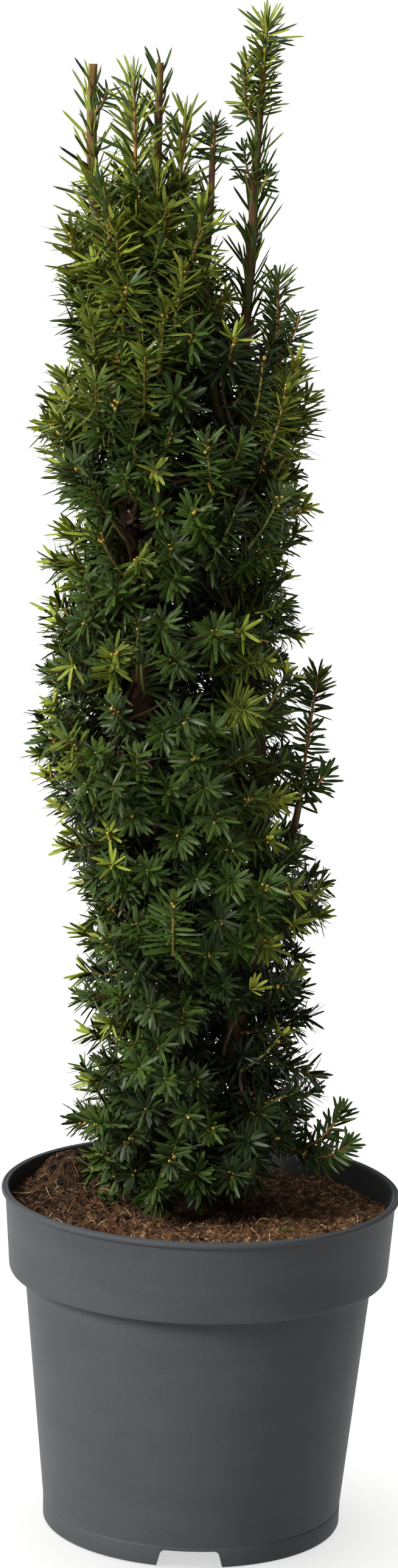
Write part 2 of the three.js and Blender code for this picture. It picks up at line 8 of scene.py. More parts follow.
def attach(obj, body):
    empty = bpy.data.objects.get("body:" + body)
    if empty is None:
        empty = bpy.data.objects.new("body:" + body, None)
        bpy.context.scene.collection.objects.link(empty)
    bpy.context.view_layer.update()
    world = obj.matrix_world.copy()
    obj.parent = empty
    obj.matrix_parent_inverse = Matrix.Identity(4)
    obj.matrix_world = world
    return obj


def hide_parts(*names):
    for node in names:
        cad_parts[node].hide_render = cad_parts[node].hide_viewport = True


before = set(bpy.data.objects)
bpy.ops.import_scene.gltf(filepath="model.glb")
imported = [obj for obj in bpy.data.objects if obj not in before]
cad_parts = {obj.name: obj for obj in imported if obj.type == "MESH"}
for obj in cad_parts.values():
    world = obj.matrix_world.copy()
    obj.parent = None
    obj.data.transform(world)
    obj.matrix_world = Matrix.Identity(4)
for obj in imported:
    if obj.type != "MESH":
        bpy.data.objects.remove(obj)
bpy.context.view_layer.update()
bpy.ops.object.select_all(action="DESELECT")

# ----------------------------------------
# The studio: a white floor and surround, a broad key light from the front left, a
# soft light from overhead and a wash that reaches the floor alone. The camera is
# nearly as high as the tallest leader and looks down on the pot.
MM = 0.001
FRAME_LONG, FOCAL_PIXELS = 2576, 6775
SENSOR_WIDTH = 36
SKY_LEFT, SKY_RIGHT = 0.56, 0.03  # how strongly the surround lights from each side
CAMERA_PLACE = Vector((0.0, -2.704, 0.998))
CAMERA_DOWN, CAMERA_YAW, CAMERA_ROLL = (math.radians(a) for a in (10.22, -0.20, 1.73))


def start_finish(name, roughness, specular):
    """A new material with its node tree and its shader."""
    finish = bpy.data.materials.new(name)
    finish.use_nodes = True
    shader = finish.node_tree.nodes["Principled BSDF"]
    shader.inputs["Roughness"].default_value = roughness
    shader.inputs["Specular IOR Level"].default_value = specular
    return finish, finish.node_tree, shader


def plain_finish(name, colour, roughness, specular):
    """A material of one base colour."""
    finish, _, shader = start_finish(name, roughness, specular)
    shader.inputs["Base Color"].default_value = (*colour, 1)
    return finish


def ranged(net, value, source, target):
    """A value of a node tree, carried over from one range to another."""
    node = net.nodes.new("ShaderNodeMapRange")
    for end, number in zip(("From Min", "From Max", "To Min", "To Max"), (*source, *target)):
        node.inputs[end].default_value = number
    net.links.new(value, node.inputs["Value"])
    return node.outputs["Result"]


bpy.ops.mesh.primitive_grid_add(x_subdivisions=2, y_subdivisions=2, size=24, location=(0, 6, -0.0006))
floor = bpy.context.object
floor.name = "studio_floor"
floor.data.materials.append(plain_finish("white_floor", (0.86, 0.86, 0.86), 0.9, 0.5))

surround = bpy.data.worlds.new("white_surround")
bpy.context.scene.world = surround
surround.use_nodes = True
sky = surround.node_tree
sky.nodes.clear()
sky_seen, sky_lighting, sky_place, sky_split, sky_path, sky_mix, sky_out = (
    sky.nodes.new("ShaderNode" + kind)
    for kind in ("Background", "Background", "TexCoord", "SeparateXYZ", "LightPath", "MixShader",
                 "OutputWorld")
)
sky_seen.inputs["Color"].default_value = (1, 1, 1, 1)
sky_lighting.inputs["Color"].default_value = (1, 0.985, 0.93, 1)
sky.links.new(sky_place.outputs["Generated"], sky_split.inputs[0])
sky_fall = ranged(sky, sky_split.outputs["X"], (-1, 1), (SKY_LEFT, SKY_RIGHT))
sky.links.new(sky_fall, sky_lighting.inputs["Strength"])
sky.links.new(sky_path.outputs["Is Camera Ray"], sky_mix.inputs[0])
sky.links.new(sky_lighting.outputs[0], sky_mix.inputs[1])
sky.links.new(sky_seen.outputs[0], sky_mix.inputs[2])
sky.links.new(sky_mix.outputs[0], sky_out.inputs["Surface"])

# the key light leaves the floor out, and the wash lights nothing else and casts no shadow
on_floor = bpy.data.collections.new("lit_floor")
on_floor.objects.link(floor)
off_floor = bpy.data.collections.new("not_the_floor")
off_floor.objects.link(floor)
off_floor.collection_objects[0].light_linking.link_state = "EXCLUDE"
for name, comes_from, strength, spread, tint, receivers in (
    ("key_left", (-0.82, -0.56, 0.62), 6.0, 24, (1, 0.985, 0.95), off_floor),
    ("top_soft", (-0.05, 0.15, 1.00), 1.2, 60, (1, 1, 1), None),
    ("floor_wash", (0, 0, 1), 2.15, 10, (1, 1, 1), on_floor),
):
    panel = bpy.data.lights.new(name, "SUN")
    panel.energy = strength
    panel.angle = math.radians(spread)
    panel.color = tint
    panel.use_shadow = receivers is not on_floor
    lamp = bpy.data.objects.new(name, panel)
    lamp.rotation_euler = Vector(comes_from).to_track_quat("Z", "Y").to_euler()
    bpy.context.scene.collection.objects.link(lamp)
    lamp.light_linking.receiver_collection = receivers

camera_ahead = Vector((
    math.sin(CAMERA_YAW) * math.cos(CAMERA_DOWN),
    math.cos(CAMERA_YAW) * math.cos(CAMERA_DOWN),
    -math.sin(CAMERA_DOWN),
))
level_right = Vector((math.cos(CAMERA_YAW), -math.sin(CAMERA_YAW), 0))
level_up = level_right.cross(camera_ahead)
camera_right = level_right * math.cos(CAMERA_ROLL) + level_up * math.sin(CAMERA_ROLL)
camera_up = level_up * math.cos(CAMERA_ROLL) - level_right * math.sin(CAMERA_ROLL)
lens = bpy.data.cameras.new("camera")
lens.sensor_width = SENSOR_WIDTH
lens.lens = FOCAL_PIXELS / FRAME_LONG * SENSOR_WIDTH
lens.clip_end = 60
camera = bpy.data.objects.new("camera", lens)
turned = Matrix((camera_right, camera_up, -camera_ahead)).transposed()
camera.matrix_world = Matrix.Translation(CAMERA_PLACE) @ turned.to_4x4()
bpy.context.scene.collection.objects.link(camera)
bpy.context.scene.camera = camera
bpy.context.scene.view_settings.view_transform = "Standard"

# ----------------------------------------
# The pot: a thin-walled injection-moulded nursery container. Its deep collar
# stands proud of the tapered body, the lip is rolled outwards and the foot ring
# has three drainage notches. It is drawn up ring by ring from a round blank.
POT_SIDES = 160
POT_OUTSIDE = [  # radius and height, from the foot up the outside and over the lip
    (101.0, 0), (101.3, 0.25), (101.7, 1.0), (101.9, 13.2), (101.6, 13.7), (101.9, 14.4), (118.1, 174.5),
    (118.3, 176.2), (119.2, 176.9), (127.0, 176.4), (128.0, 176.7), (128.6, 177.8), (128.9, 180.5),
    (132.3, 228.4), (132.5, 229.0), (133.4, 229.2), (134.4, 229.5), (134.9, 230.3), (135.0, 231.2),
    (134.7, 232.1), (134.0, 232.7), (133.2, 232.85), (132.6, 232.5), (132.0, 232.9), (131.2, 233.0),
]
POT_INSIDE = [  # from the lip down the inside to the floor
    (130.5, 232.7), (130.1, 231.9), (129.9, 229.5), (126.6, 180.0), (125.9, 179.1), (117.0, 178.8),
    (116.2, 177.6), (100.0, 17.0), (99.4, 14.6), (97.5, 14.0), (30.0, 14.0), (3.0, 14.0),
]
POT_UNDERSIDE = [(99.2, 0), (99.1, 11.4), (98.5, 12.0), (30.0, 12.0), (3.0, 12.0)]


def settle():
    """Works the active object's place, turn and size into its mesh."""
    bpy.ops.object.transform_apply(location=True, rotation=True, scale=True)


def pull_rings(walk):
    """Extrudes the selected ring of edges to each radius and height in turn, and closes the last ring."""
    for (r0, z0), (r1, z1) in zip(walk, walk[1:]):
        bpy.ops.mesh.extrude_region_move(TRANSFORM_OT_translate={"value": (0, 0, (z1 - z0) * MM)})
        share = r1 / r0
        bpy.ops.transform.resize(value=(share, share, 1), center_override=(0, 0, z1 * MM))
    bpy.ops.mesh.edge_face_add()


foot_radius, foot_height = POT_OUTSIDE[0]
bpy.ops.mesh.primitive_circle_add(
    vertices=POT_SIDES, radius=foot_radius * MM, fill_type="NOTHING", location=(0, 0, foot_height * MM)
)
pot = bpy.context.object
pot.name = "nursery_pot"
settle()
bpy.ops.object.mode_set(mode="EDIT")
bpy.ops.mesh.select_all(action="SELECT")
pull_rings(POT_OUTSIDE + POT_INSIDE)
bpy.ops.mesh.select_all(action="DESELECT")
bpy.ops.object.mode_set(mode="OBJECT")
HAIR = 1e-5
for vertex in pot.data.vertices:
    off_foot = abs(math.hypot(vertex.co.x, vertex.co.y) - foot_radius * MM)
    vertex.select = abs(vertex.co.z) < HAIR and off_foot < HAIR
for edge in pot.data.edges:
    edge.select = all(pot.data.vertices[v].select for v in edge.vertices)
bpy.ops.object.mode_set(mode="EDIT")
bpy.ops.mesh.select_mode(type="EDGE")
pull_rings([POT_OUTSIDE[0]] + POT_UNDERSIDE)
bpy.ops.mesh.select_all(action="SELECT")
bpy.ops.mesh.normals_make_consistent(inside=False)
bpy.ops.object.mode_set(mode="OBJECT")

NOTCH_TOP, NOTCH_FOOT, NOTCH_HEIGHT, NOTCH_COUNT = 38, 46, 11.3, 3
NOTCH_BELOW, NOTCH_CORNER = 4, 2.6
for k in range(NOTCH_COUNT):
    bpy.ops.object.select_all(action="DESELECT")
    bpy.ops.mesh.primitive_cube_add(size=1)
    cutter = bpy.context.object
    cutter.scale = (NOTCH_FOOT * MM, 0.05, (NOTCH_HEIGHT + NOTCH_BELOW) * MM)
    settle()
    for vertex in cutter.data.vertices:
        if vertex.co.z > 0:
            vertex.co.x *= NOTCH_TOP / NOTCH_FOOT
    bpy.ops.object.mode_set(mode="EDIT")
    bpy.ops.mesh.select_all(action="DESELECT")
    bpy.ops.object.mode_set(mode="OBJECT")
    for edge in cutter.data.edges:
        ends = [cutter.data.vertices[v].co for v in edge.vertices]
        edge.select = all(e.z > 0 for e in ends) and abs(ends[0].x - ends[1].x) < 1e-6
    bpy.ops.object.mode_set(mode="EDIT")
    bpy.ops.mesh.select_mode(type="EDGE")
    bpy.ops.mesh.bevel(offset=NOTCH_CORNER * MM, segments=4, affect="EDGES")
    bpy.ops.object.mode_set(mode="OBJECT")
    cutter.location = (0, -0.1, (NOTCH_HEIGHT + NOTCH_BELOW) / 2 * MM - NOTCH_BELOW * MM)
    settle()
    cutter.rotation_euler = (0, 0, 2 * math.pi * k / NOTCH_COUNT)
    settle()
    cut = pot.modifiers.new("notch", "BOOLEAN")
    cut.operation = "DIFFERENCE"
    cut.solver = "EXACT"
    cut.object = cutter
    bpy.ops.object.select_all(action="DESELECT")
    bpy.context.view_layer.objects.active = pot
    pot.select_set(True)
    bpy.ops.object.modifier_apply(modifier=cut.name)
    bpy.data.objects.remove(cutter)
bpy.ops.object.shade_smooth_by_angle(angle=math.radians(28))


def toned_noise(net, vector, scale, detail, *stops, roughness=0.5):
    """A noise texture and the colour ramp that turns its values into the colours of the stops."""
    texture = net.nodes.new("ShaderNodeTexNoise")
    texture.inputs["Scale"].default_value = scale
    texture.inputs["Detail"].default_value = detail
    texture.inputs["Roughness"].default_value = roughness
    net.links.new(vector, texture.inputs["Vector"])
    ramp = net.nodes.new("ShaderNodeValToRGB")
    net.links.new(texture.outputs["Fac"], ramp.inputs["Fac"])
    marks = ramp.color_ramp.elements
    for mark, (position, colour) in zip(marks[:], (stops[0], stops[-1])):
        mark.position, mark.color = position, (*colour, 1)
    for position, colour in stops[1:-1]:
        marks.new(position).color = (*colour, 1)
    return texture.outputs["Fac"], ramp.outputs["Color"]


def stretched(net, scale):
    """Object coordinates, drawn out by a scale along each axis."""
    place = net.nodes.new("ShaderNodeTexCoord")
    mapping = net.nodes.new("ShaderNodeMapping")
    mapping.inputs["Scale"].default_value = scale
    net.links.new(place.outputs["Object"], mapping.inputs["Vector"])
    return mapping.outputs["Vector"]


def add_relief(net, shader, height, strength, distance):
    """Fine relief on a finish, as a bump."""
    bump = net.nodes.new("ShaderNodeBump")
    bump.inputs["Strength"].default_value = strength
    bump.inputs["Distance"].default_value = distance
    net.links.new(height, bump.inputs["Height"])
    net.links.new(bump.outputs["Normal"], shader.inputs["Normal"])


pot_plastic, net, shader = start_finish("grained_grey_plastic", 0.5, 0.25)
shader.inputs["IOR"].default_value = 1.3
place = net.nodes.new("ShaderNodeTexCoord").outputs["Object"]
_, tone = toned_noise(
    net, stretched(net, (1, 1, 4)), 14, 5, (0.3, (0.0418, 0.0455, 0.05)), (0.75, (0.05, 0.0545, 0.059))
)
grain, speckle = toned_noise(net, place, 2200, 2, (0.35, (0.86, 0.86, 0.86)), (0.68, (1.16, 1.16, 1.16)))
speckled = net.nodes.new("ShaderNodeMix")
speckled.data_type = "RGBA"
speckled.blend_type = "MULTIPLY"
speckled.inputs["Factor"].default_value = 1
net.links.new(tone, speckled.inputs["A"])
net.links.new(speckle, speckled.inputs["B"])
net.links.new(speckled.outputs["Result"], shader.inputs["Base Color"])
add_relief(net, shader, grain, 0.12, 0.0004)
pot.data.materials.append(pot_plastic)
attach(pot, "root")
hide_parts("pot")

# ----------------------------------------
# The growing medium: peat and shredded coir that has settled below the lip. It
# is a disc of fine rings, rolled into clumps, with a loose mound at the back
# left, and it carries straw-coloured fibres and crumbs that lie as they fell.
SOIL_LEVEL = 216
SOIL_REACH = 129.0
SOIL_RINGS, SOIL_SECTORS = 62, 200
SOIL_EDGE = ((127.6, 205), (124.5, 186))  # radius and height of the filling's side under its surface
MOUND_X, MOUND_Y, MOUND_RADIUS, MOUND_HEIGHT = -91, 52, 20, 18
CLUMPS = ((3.4, 13), (3.4, 6), (2.0, 2.6))  # height and width of the relief's three sizes
CALM_RADIUS, CALM_SHARE = 16, 0.15  # the relief dies down towards the trunk
PAINTED_SHADE_SCALE, PAINTED_LIGHT_SCALE = 0.5, 2.3  # painted shade and painted light: how light the medium is made at the back left and at the front right
rng = np.random.default_rng(7)


def soil_height(x, y):
    """The settled surface at a point, in millimetres: level at the trunk, rolling further out."""
    r = np.hypot(x, y)
    away = np.clip((r - 30) / 45, 0, 1)
    away = away * away * (3 - 2 * away)
    rolls = 2.2 * np.sin(x * 0.061 + 0.7) * np.cos(y * 0.053 - 0.4) + 1.4 * np.sin((x + y) * 0.11)
    far = np.hypot(x - MOUND_X, y - MOUND_Y) / MOUND_RADIUS
    mound = MOUND_HEIGHT * np.exp(-(far**2.6))
    return SOIL_LEVEL + away * (3.5 - 0.028 * x - 0.03 * y + rolls + mound)


def clumps(x, y):
    """Crumbly relief on the surface, in millimetres."""
    found = np.empty_like(x)
    for i, (a, b) in enumerate(zip(x.ravel(), y.ravel())):
        spot = Vector((a, b, 0))
        found.flat[i] = sum(height * noise.noise(spot / width) for height, width in CLUMPS)
    return found


def mesh_from(name, points, faces, materials=(), face_slots=None, smooth=False):
    """A mesh object from arrays: points in metres, faces as rows of corner numbers, all of one length."""
    points = np.asarray(points, np.float32).reshape(-1, 3)
    faces = np.asarray(faces, np.int32)
    count, corners = faces.shape
    data = bpy.data.meshes.new(name)
    data.vertices.add(len(points))
    data.vertices.foreach_set("co", points.ravel())
    data.loops.add(count * corners)
    data.loops.foreach_set("vertex_index", faces.ravel())
    data.polygons.add(count)
    data.polygons.foreach_set("loop_start", np.arange(count, dtype=np.int32) * corners)
    data.polygons.foreach_set("use_smooth", np.full(count, smooth, bool))
    for material in materials:
        data.materials.append(material)
    if face_slots is not None:
        data.polygons.foreach_set("material_index", np.asarray(face_slots, np.int32))
    data.update(calc_edges=True)
    data.validate()
    made = bpy.data.objects.new(name, data)
    bpy.context.scene.collection.objects.link(made)
    return made


ring_share = np.linspace(0, 1, SOIL_RINGS + 1)[1:]
angle = 2 * np.pi * np.arange(SOIL_SECTORS) / SOIL_SECTORS
sx, sy = ((SOIL_REACH * ring_share[:, None] * wave(angle)[None]).ravel() for wave in (np.cos, np.sin))
sz = soil_height(sx, sy) + clumps(sx, sy) * np.clip(np.hypot(sx, sy) / CALM_RADIUS, CALM_SHARE, 1)
soil_points = [np.array([[0, 0, SOIL_LEVEL]]), np.stack([sx, sy, sz], 1)]
for radius, height in SOIL_EDGE:
    level = np.full(SOIL_SECTORS, height)
    soil_points.append(np.stack([radius * np.cos(angle), radius * np.sin(angle), level], 1))
soil_points.append(np.array([[0, 0, SOIL_EDGE[-1][1]]]))
soil_points = np.concatenate(soil_points) * MM
turn = np.arange(SOIL_SECTORS)
after = (turn + 1) % SOIL_SECTORS
soil_faces = [np.stack([np.zeros_like(turn), 1 + turn, 1 + after], 1)]
for ring in range(SOIL_RINGS + 1):
    a, b = 1 + ring * SOIL_SECTORS, 1 + (ring + 1) * SOIL_SECTORS
    soil_faces.append(np.stack([a + turn, b + turn, b + after], 1))
    soil_faces.append(np.stack([a + turn, b + after, a + after], 1))
last_ring = 1 + (SOIL_RINGS + 1) * SOIL_SECTORS
underside = np.full_like(turn, len(soil_points) - 1)
soil_faces.append(np.stack([last_ring + turn, underside, last_ring + after], 1))

# the medium is painted darker at the back left, as painted shade of the pot's wall and lip, and lighter
# towards the front right, as painted light
peat, net, shader = start_finish("peat_and_coir", 0.95, 0.15)
place = net.nodes.new("ShaderNodeTexCoord").outputs["Object"]
crumbs, tone = toned_noise(
    net, place, 210, 8, (0.40, (0.0049, 0.0025, 0.0012)), (0.52, (0.0459, 0.023, 0.0098)),
    (0.68, (0.205, 0.1189, 0.059)), roughness=0.7
)
across = net.nodes.new("ShaderNodeVectorMath")
across.operation = "DOT_PRODUCT"
across.inputs[1].default_value = (1, -0.5, 0)
net.links.new(place, across.inputs[0])
# painted shade at the back left, painted light at the front right
shade_and_light_across = ranged(net, across.outputs["Value"], (-0.09, 0.06), (PAINTED_SHADE_SCALE, PAINTED_LIGHT_SCALE))
tone_with_painted_light = net.nodes.new("ShaderNodeVectorMath")
tone_with_painted_light.operation = "SCALE"
net.links.new(tone, tone_with_painted_light.inputs["Vector"])
net.links.new(shade_and_light_across, tone_with_painted_light.inputs["Scale"])
net.links.new(tone_with_painted_light.outputs["Vector"], shader.inputs["Base Color"])
add_relief(net, shader, crumbs, 0.9, 0.0015)
soil = mesh_from("peat_and_coir_fill", soil_points, np.concatenate(soil_faces), [peat])
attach(soil, "root")
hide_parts("growing_medium")


def unit(v):
    """Vectors of length 1 along the last axis."""
    return v / np.linalg.norm(v, axis=-1, keepdims=True)


def sideways(ahead):
    """Two ways at right angles to each heading and to each other."""
    helper = np.where(np.abs(ahead[..., 2:3]) > 0.9, np.array([1.0, 0, 0]), np.array([0, 0, 1.0]))
    across = unit(np.cross(helper, ahead))
    return across, np.cross(ahead, across)


def repeated(faces, count, points_each):
    """The faces of one piece, for a number of pieces whose points follow one another."""
    return (faces[None] + (np.arange(count) * points_each)[:, None, None]).reshape(-1, 3)


def strands(name, courses, radii, sides, material):
    """Joined closed tubes: courses is (n, stations, 3) in millimetres and radii is (n, stations)."""
    n, stations, _ = courses.shape
    ahead = unit(np.gradient(courses, axis=1))
    across, third = sideways(ahead)
    around = 2 * np.pi * np.arange(sides)[:, None] / sides
    ring = across[:, :, None] * np.cos(around) + third[:, :, None] * np.sin(around)
    points = courses[:, :, None] + ring * radii[:, :, None, None]
    points = np.concatenate([points.reshape(n, -1, 3), courses[:, :1], courses[:, -1:]], axis=1)
    k = np.arange(sides)
    nxt = (k + 1) % sides
    faces = []
    for s in range(stations - 1):
        a, b = s * sides, (s + 1) * sides
        faces += [np.stack([a + k, a + nxt, b + nxt], 1), np.stack([a + k, b + nxt, b + k], 1)]
    foot, tip = stations * sides, stations * sides + 1
    faces += [np.stack([np.full(sides, foot), nxt, k], 1)]
    top = (stations - 1) * sides
    faces += [np.stack([np.full(sides, tip), top + k, top + nxt], 1)]
    whole = repeated(np.concatenate(faces), n, points.shape[1])
    return mesh_from(name, points.reshape(-1, 3) * MM, whole, [material])


FIBRES = {  # how many, colour, radius and range of lengths
    "straw_fibres": (310, (0.2952, 0.205, 0.1148), 0.30, (5, 21)),
    "red_fibres": (2400, (0.118, 0.053, 0.021), 0.22, (4, 14)),
    "dark_fibres": (1400, (0.034, 0.016, 0.008), 0.34, (5, 18)),
}
FIBRE_REACH, FIBRE_BEND, FIBRE_TILT, FIBRE_ARCH = 0.97, 0.32, 2.0, 1.2
FIBRE_LIFT, FIBRE_TAPER = (0.2, 2.6), np.array([0.5, 0.9, 1, 0.9, 0.4])
for name, (count, colour, thickness, lengths) in FIBRES.items():
    r = SOIL_REACH * FIBRE_REACH * np.sqrt(rng.random(count))
    a = rng.random(count) * 2 * np.pi
    x, y = r * np.cos(a), r * np.sin(a)
    heading = rng.random(count) * 2 * np.pi
    long = rng.uniform(*lengths, count)
    bend = rng.normal(0, FIBRE_BEND, count)
    t = np.linspace(-0.5, 0.5, 5)[None]
    px = x[:, None] + long[:, None] * t * np.cos(heading + bend * t.T).T
    py = y[:, None] + long[:, None] * t * np.sin(heading + bend * t.T).T
    far = np.maximum(np.hypot(px, py) / (SOIL_REACH - 1), 1)
    px, py = px / far, py / far
    lift = rng.uniform(*FIBRE_LIFT, count)[:, None] + rng.normal(0, FIBRE_TILT, count)[:, None] * t * 2
    pz = soil_height(px, py) + clumps(px, py) + lift + FIBRE_ARCH * np.cos(t * 6)
    r_fibre = thickness * FIBRE_TAPER[None] * rng.uniform(0.6, 1.2, count)[:, None]
    fibres = strands(name, np.stack([px, py, pz], 2), r_fibre, 3, plain_finish(name, colour, 0.8, 0.25))
    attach(fibres, "root")

# ----------------------------------------
# The trunk, the right-hand stem and the boughs: old wood with flaking red-brown
# bark, and younger wood that keeps green ridges below each needle. Each limb is
# drawn out ring by ring along its course, and two of them end in a pruning cut.
LIMBS = {
    "trunk": {
        "course": [(-5, 0, 216.3), (-8, 0, 262), (-29, 2, 400), (-47, -3, 550), (-60, 2, 675), (-73, -2, 770),
                   (-85, 1, 858), (-92, 2, 944), (-92, 2, 981)],
        "foot": 10.5, "tip": 2.9, "flare": 3,
    },
    "right_stem": {
        "course": [(-9, 0, 270), (12, 3, 318), (30, 2, 405), (27, -3, 560), (17, 2, 690), (12, 3, 806),
                   (14, 1, 857), (15, -1, 908), (17, 0, 958)],
        "foot": 8, "tip": 2.3, "flare": 0,
    },
    "middle_bough": {
        "course": [(-63, 0, 700), (-54, 9, 770), (-50, 11, 867), (-49, 12, 906), (-49, 12, 983)],
        "foot": 4, "tip": 2.4, "flare": 0,
    },
    "inner_bough": {
        "course": [(14, 2, 715), (-5, -6, 765), (-15, -8, 848), (-13, -8, 900), (-13, -8, 930)],
        "foot": 3.6, "tip": 1.9, "flare": 0,
    },
    "side_bough": {
        "course": [(28, -3, 420), (44, -7, 445), (54, -8, 480), (58, -8, 505)],
        "foot": 3, "tip": 2.2, "flare": 0,
    },
}


def course_at(course, z):
    """The point of a course at each height, by a smooth curve through its points."""
    knots = np.array(course, float)
    slopes = np.gradient(knots[:, :2], knots[:, 2], axis=0)
    z = np.clip(np.atleast_1d(np.asarray(z, float)), knots[0, 2], knots[-1, 2])
    i = np.clip(np.searchsorted(knots[:, 2], z) - 1, 0, len(knots) - 2)
    h = knots[i + 1, 2] - knots[i, 2]
    t = (z - knots[i, 2]) / h
    a, b = 2 * t**3 - 3 * t**2 + 1, t**3 - 2 * t**2 + t
    c, d = 3 * t**2 - 2 * t**3, t**3 - t**2
    xy = (a[:, None] * knots[i, :2] + (b * h)[:, None] * slopes[i]
          + c[:, None] * knots[i + 1, :2] + (d * h)[:, None] * slopes[i + 1])
    return np.column_stack([xy, z])


def bark_finish(name, wood, ridge, ridge_share):
    """Bark with long flakes: two wood tones and the green of the ridges under the needles."""
    finish, net, shader = start_finish(name, 0.75, 0.3)
    along = stretched(net, (1, 1, 0.13))
    flakes, tone = toned_noise(net, along, 420, 6, (0.3, [c * 0.35 for c in wood]), (0.7, wood))
    edge = 1 - ridge_share
    _, where = toned_noise(net, along, 260, 2, (edge - 0.04, (0, 0, 0)), (edge + 0.04, (1, 1, 1)))
    mix = net.nodes.new("ShaderNodeMix")
    mix.data_type = "RGBA"
    mix.inputs["B"].default_value = (*ridge, 1)
    net.links.new(where, mix.inputs["Factor"])
    net.links.new(tone, mix.inputs["A"])
    net.links.new(mix.outputs["Result"], shader.inputs["Base Color"])
    add_relief(net, shader, flakes, 0.8, 0.0008)
    return finish


old_bark = bark_finish("old_bark", (0.40, 0.21, 0.14), (0.12, 0.08, 0.045), 0.3)
young_bark = bark_finish("young_bark", (0.1968, 0.0861, 0.0279), (0.1394, 0.164, 0.0246), 0.47)
leader_bark = bark_finish("leader_bark", (0.123, 0.0541, 0.0205), (0.0492, 0.0672, 0.0131), 0.42)
cut_wood = plain_finish("cut_wood", (0.1148, 0.0738, 0.0492), 0.85, 0.2)

LIMB_SIDES, RING_STEP, OLD_BARK_TOP, FLARE_FALL = 20, 3.5, 820, 22
BARK_RELIEF = ((0.1, 1), (0.07, 2.7))  # share of the radius, and how fine
for name, limb in LIMBS.items():
    low, high = limb["course"][0][2], limb["course"][-1][2]
    rings = int((high - low) / RING_STEP)
    heights = np.linspace(low, high, rings + 1)
    way = course_at(limb["course"], heights)
    share = (heights - low) / (high - low)
    radius = limb["foot"] + (limb["tip"] - limb["foot"]) * share + limb["flare"] * np.exp(-FLARE_FALL * share)
    bpy.ops.object.select_all(action="DESELECT")
    bpy.ops.mesh.primitive_circle_add(
        vertices=LIMB_SIDES, radius=radius[0] * MM, fill_type="NGON", location=tuple(way[0] * MM)
    )
    stem = bpy.context.object
    stem.name = name + "_bark"
    settle()
    bpy.ops.object.mode_set(mode="EDIT")
    bpy.ops.mesh.select_all(action="SELECT")
    for k in range(rings):
        bpy.ops.mesh.extrude_region_move(TRANSFORM_OT_translate={"value": tuple((way[k + 1] - way[k]) * MM)})
        grow = radius[k + 1] / radius[k]
        bpy.ops.transform.resize(value=(grow, grow, 1), center_override=tuple(way[k + 1] * MM))
    bpy.ops.mesh.inset(thickness=radius[-1] * 0.25 * MM)
    bpy.ops.mesh.select_all(action="SELECT")
    bpy.ops.mesh.normals_make_consistent(inside=False)
    bpy.ops.object.mode_set(mode="OBJECT")
    for vertex in stem.data.vertices:
        centre = Vector(course_at(limb["course"], vertex.co.z / MM)[0]) * MM
        out = Vector((vertex.co.x - centre.x, vertex.co.y - centre.y, 0))
        if out.length > HAIR:
            spot = Vector((vertex.co.x * 300, vertex.co.y * 300, vertex.co.z * 45))
            vertex.co += out * sum(depth * noise.noise(spot * fine) for depth, fine in BARK_RELIEF)
    bpy.ops.object.shade_smooth()
    young = young_bark if name in ("trunk", "middle_bough") else leader_bark
    for finish in (young, cut_wood, old_bark):
        stem.data.materials.append(finish)
    for face in stem.data.polygons:
        if len(face.vertices) > 4:
            face.material_index = 1
            face.use_smooth = False
        elif name == "trunk" and face.center.z < OLD_BARK_TOP * MM:
            face.material_index = 2
    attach(stem, "root")
    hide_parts(name)

# ----------------------------------------
# The crown: two upright columns of foliage that have grown together. From a seat
# on its limb each mass sends a stem to its middle, boughlets from there, and leafy
# shoots outwards and up, with flat pointed needles set all round them in a spiral.
CROWN_FOOT, CROWN_TOP, RIGHT_COLUMN_TOP = 231, 918, 818
CROWN_REACH = np.array([  # height, and how far the foliage reaches to the left and to the right
    (CROWN_FOOT - 3, -60, 52), (248, -86, 72), (271, -96, 80), (300, -90, 80), (335, -83, 73), (365, -88, 76),
    (398, -90, 72), (439, -91, 82), (462, -102, 75), (485, -104, 58), (522, -119, 60), (563, -121, 58),
    (604, -118, 58), (644, -115, 50), (668, -112, 50), (688, -98, 61), (708, -109, 63), (728, -118, 53),
    (745, -127, 55), (768, -120, 59), (790, -108, 57), (806, -102, 45), (822, -109, 8), (860, -113, 2),
    (884, -108, -16), (905, -102, -16), (CROWN_TOP, -90, -40),
])
DEPTH_SHARE, FULLNESS = 0.84, 2.5
TIERS, STAGGER = 5, {"front": 0.0, "back": 0.22}
GOLDEN = math.pi * (3 - math.sqrt(5))
UP = np.array([0, 0, 1.0])


def reach_at(z):
    """How far the foliage reaches to the left and to the right at a height."""
    return [np.interp(z, CROWN_REACH[:, 0], CROWN_REACH[:, side]) for side in (1, 2)]


def crown_share(p):
    """How far out points lie in the crown: 0 on its axis and 1 at the tips of its needles."""
    left, right = reach_at(p[..., 2])
    half = (right - left) / 2
    across = np.abs(p[..., 0] - (left + right) / 2) / half
    deep = np.abs(p[..., 1]) / (DEPTH_SHARE * half)
    share = (across**FULLNESS + deep**FULLNESS) ** (1 / FULLNESS)
    return np.where((p[..., 2] < CROWN_FOOT - 3) | (p[..., 2] > CROWN_TOP), np.inf, share)


def crown_side(z, around, depth):
    """Points at a depth under the crown's side, and the level way out from there."""
    left, right = reach_at(z)
    half = (right - left) / 2
    c, s = np.cos(around), np.sin(around)
    radius = half * (np.abs(c) ** FULLNESS + np.abs(s / DEPTH_SHARE) ** FULLNESS) ** (-1 / FULLNESS)
    out = np.stack([np.sign(c) * np.abs(c) ** (FULLNESS - 1),
                    np.sign(s) * np.abs(s) ** (FULLNESS - 1) / DEPTH_SHARE**FULLNESS], -1)
    return np.stack([(left + right) / 2 + (radius - depth) * c, (radius - depth) * s, z], -1), unit(out)


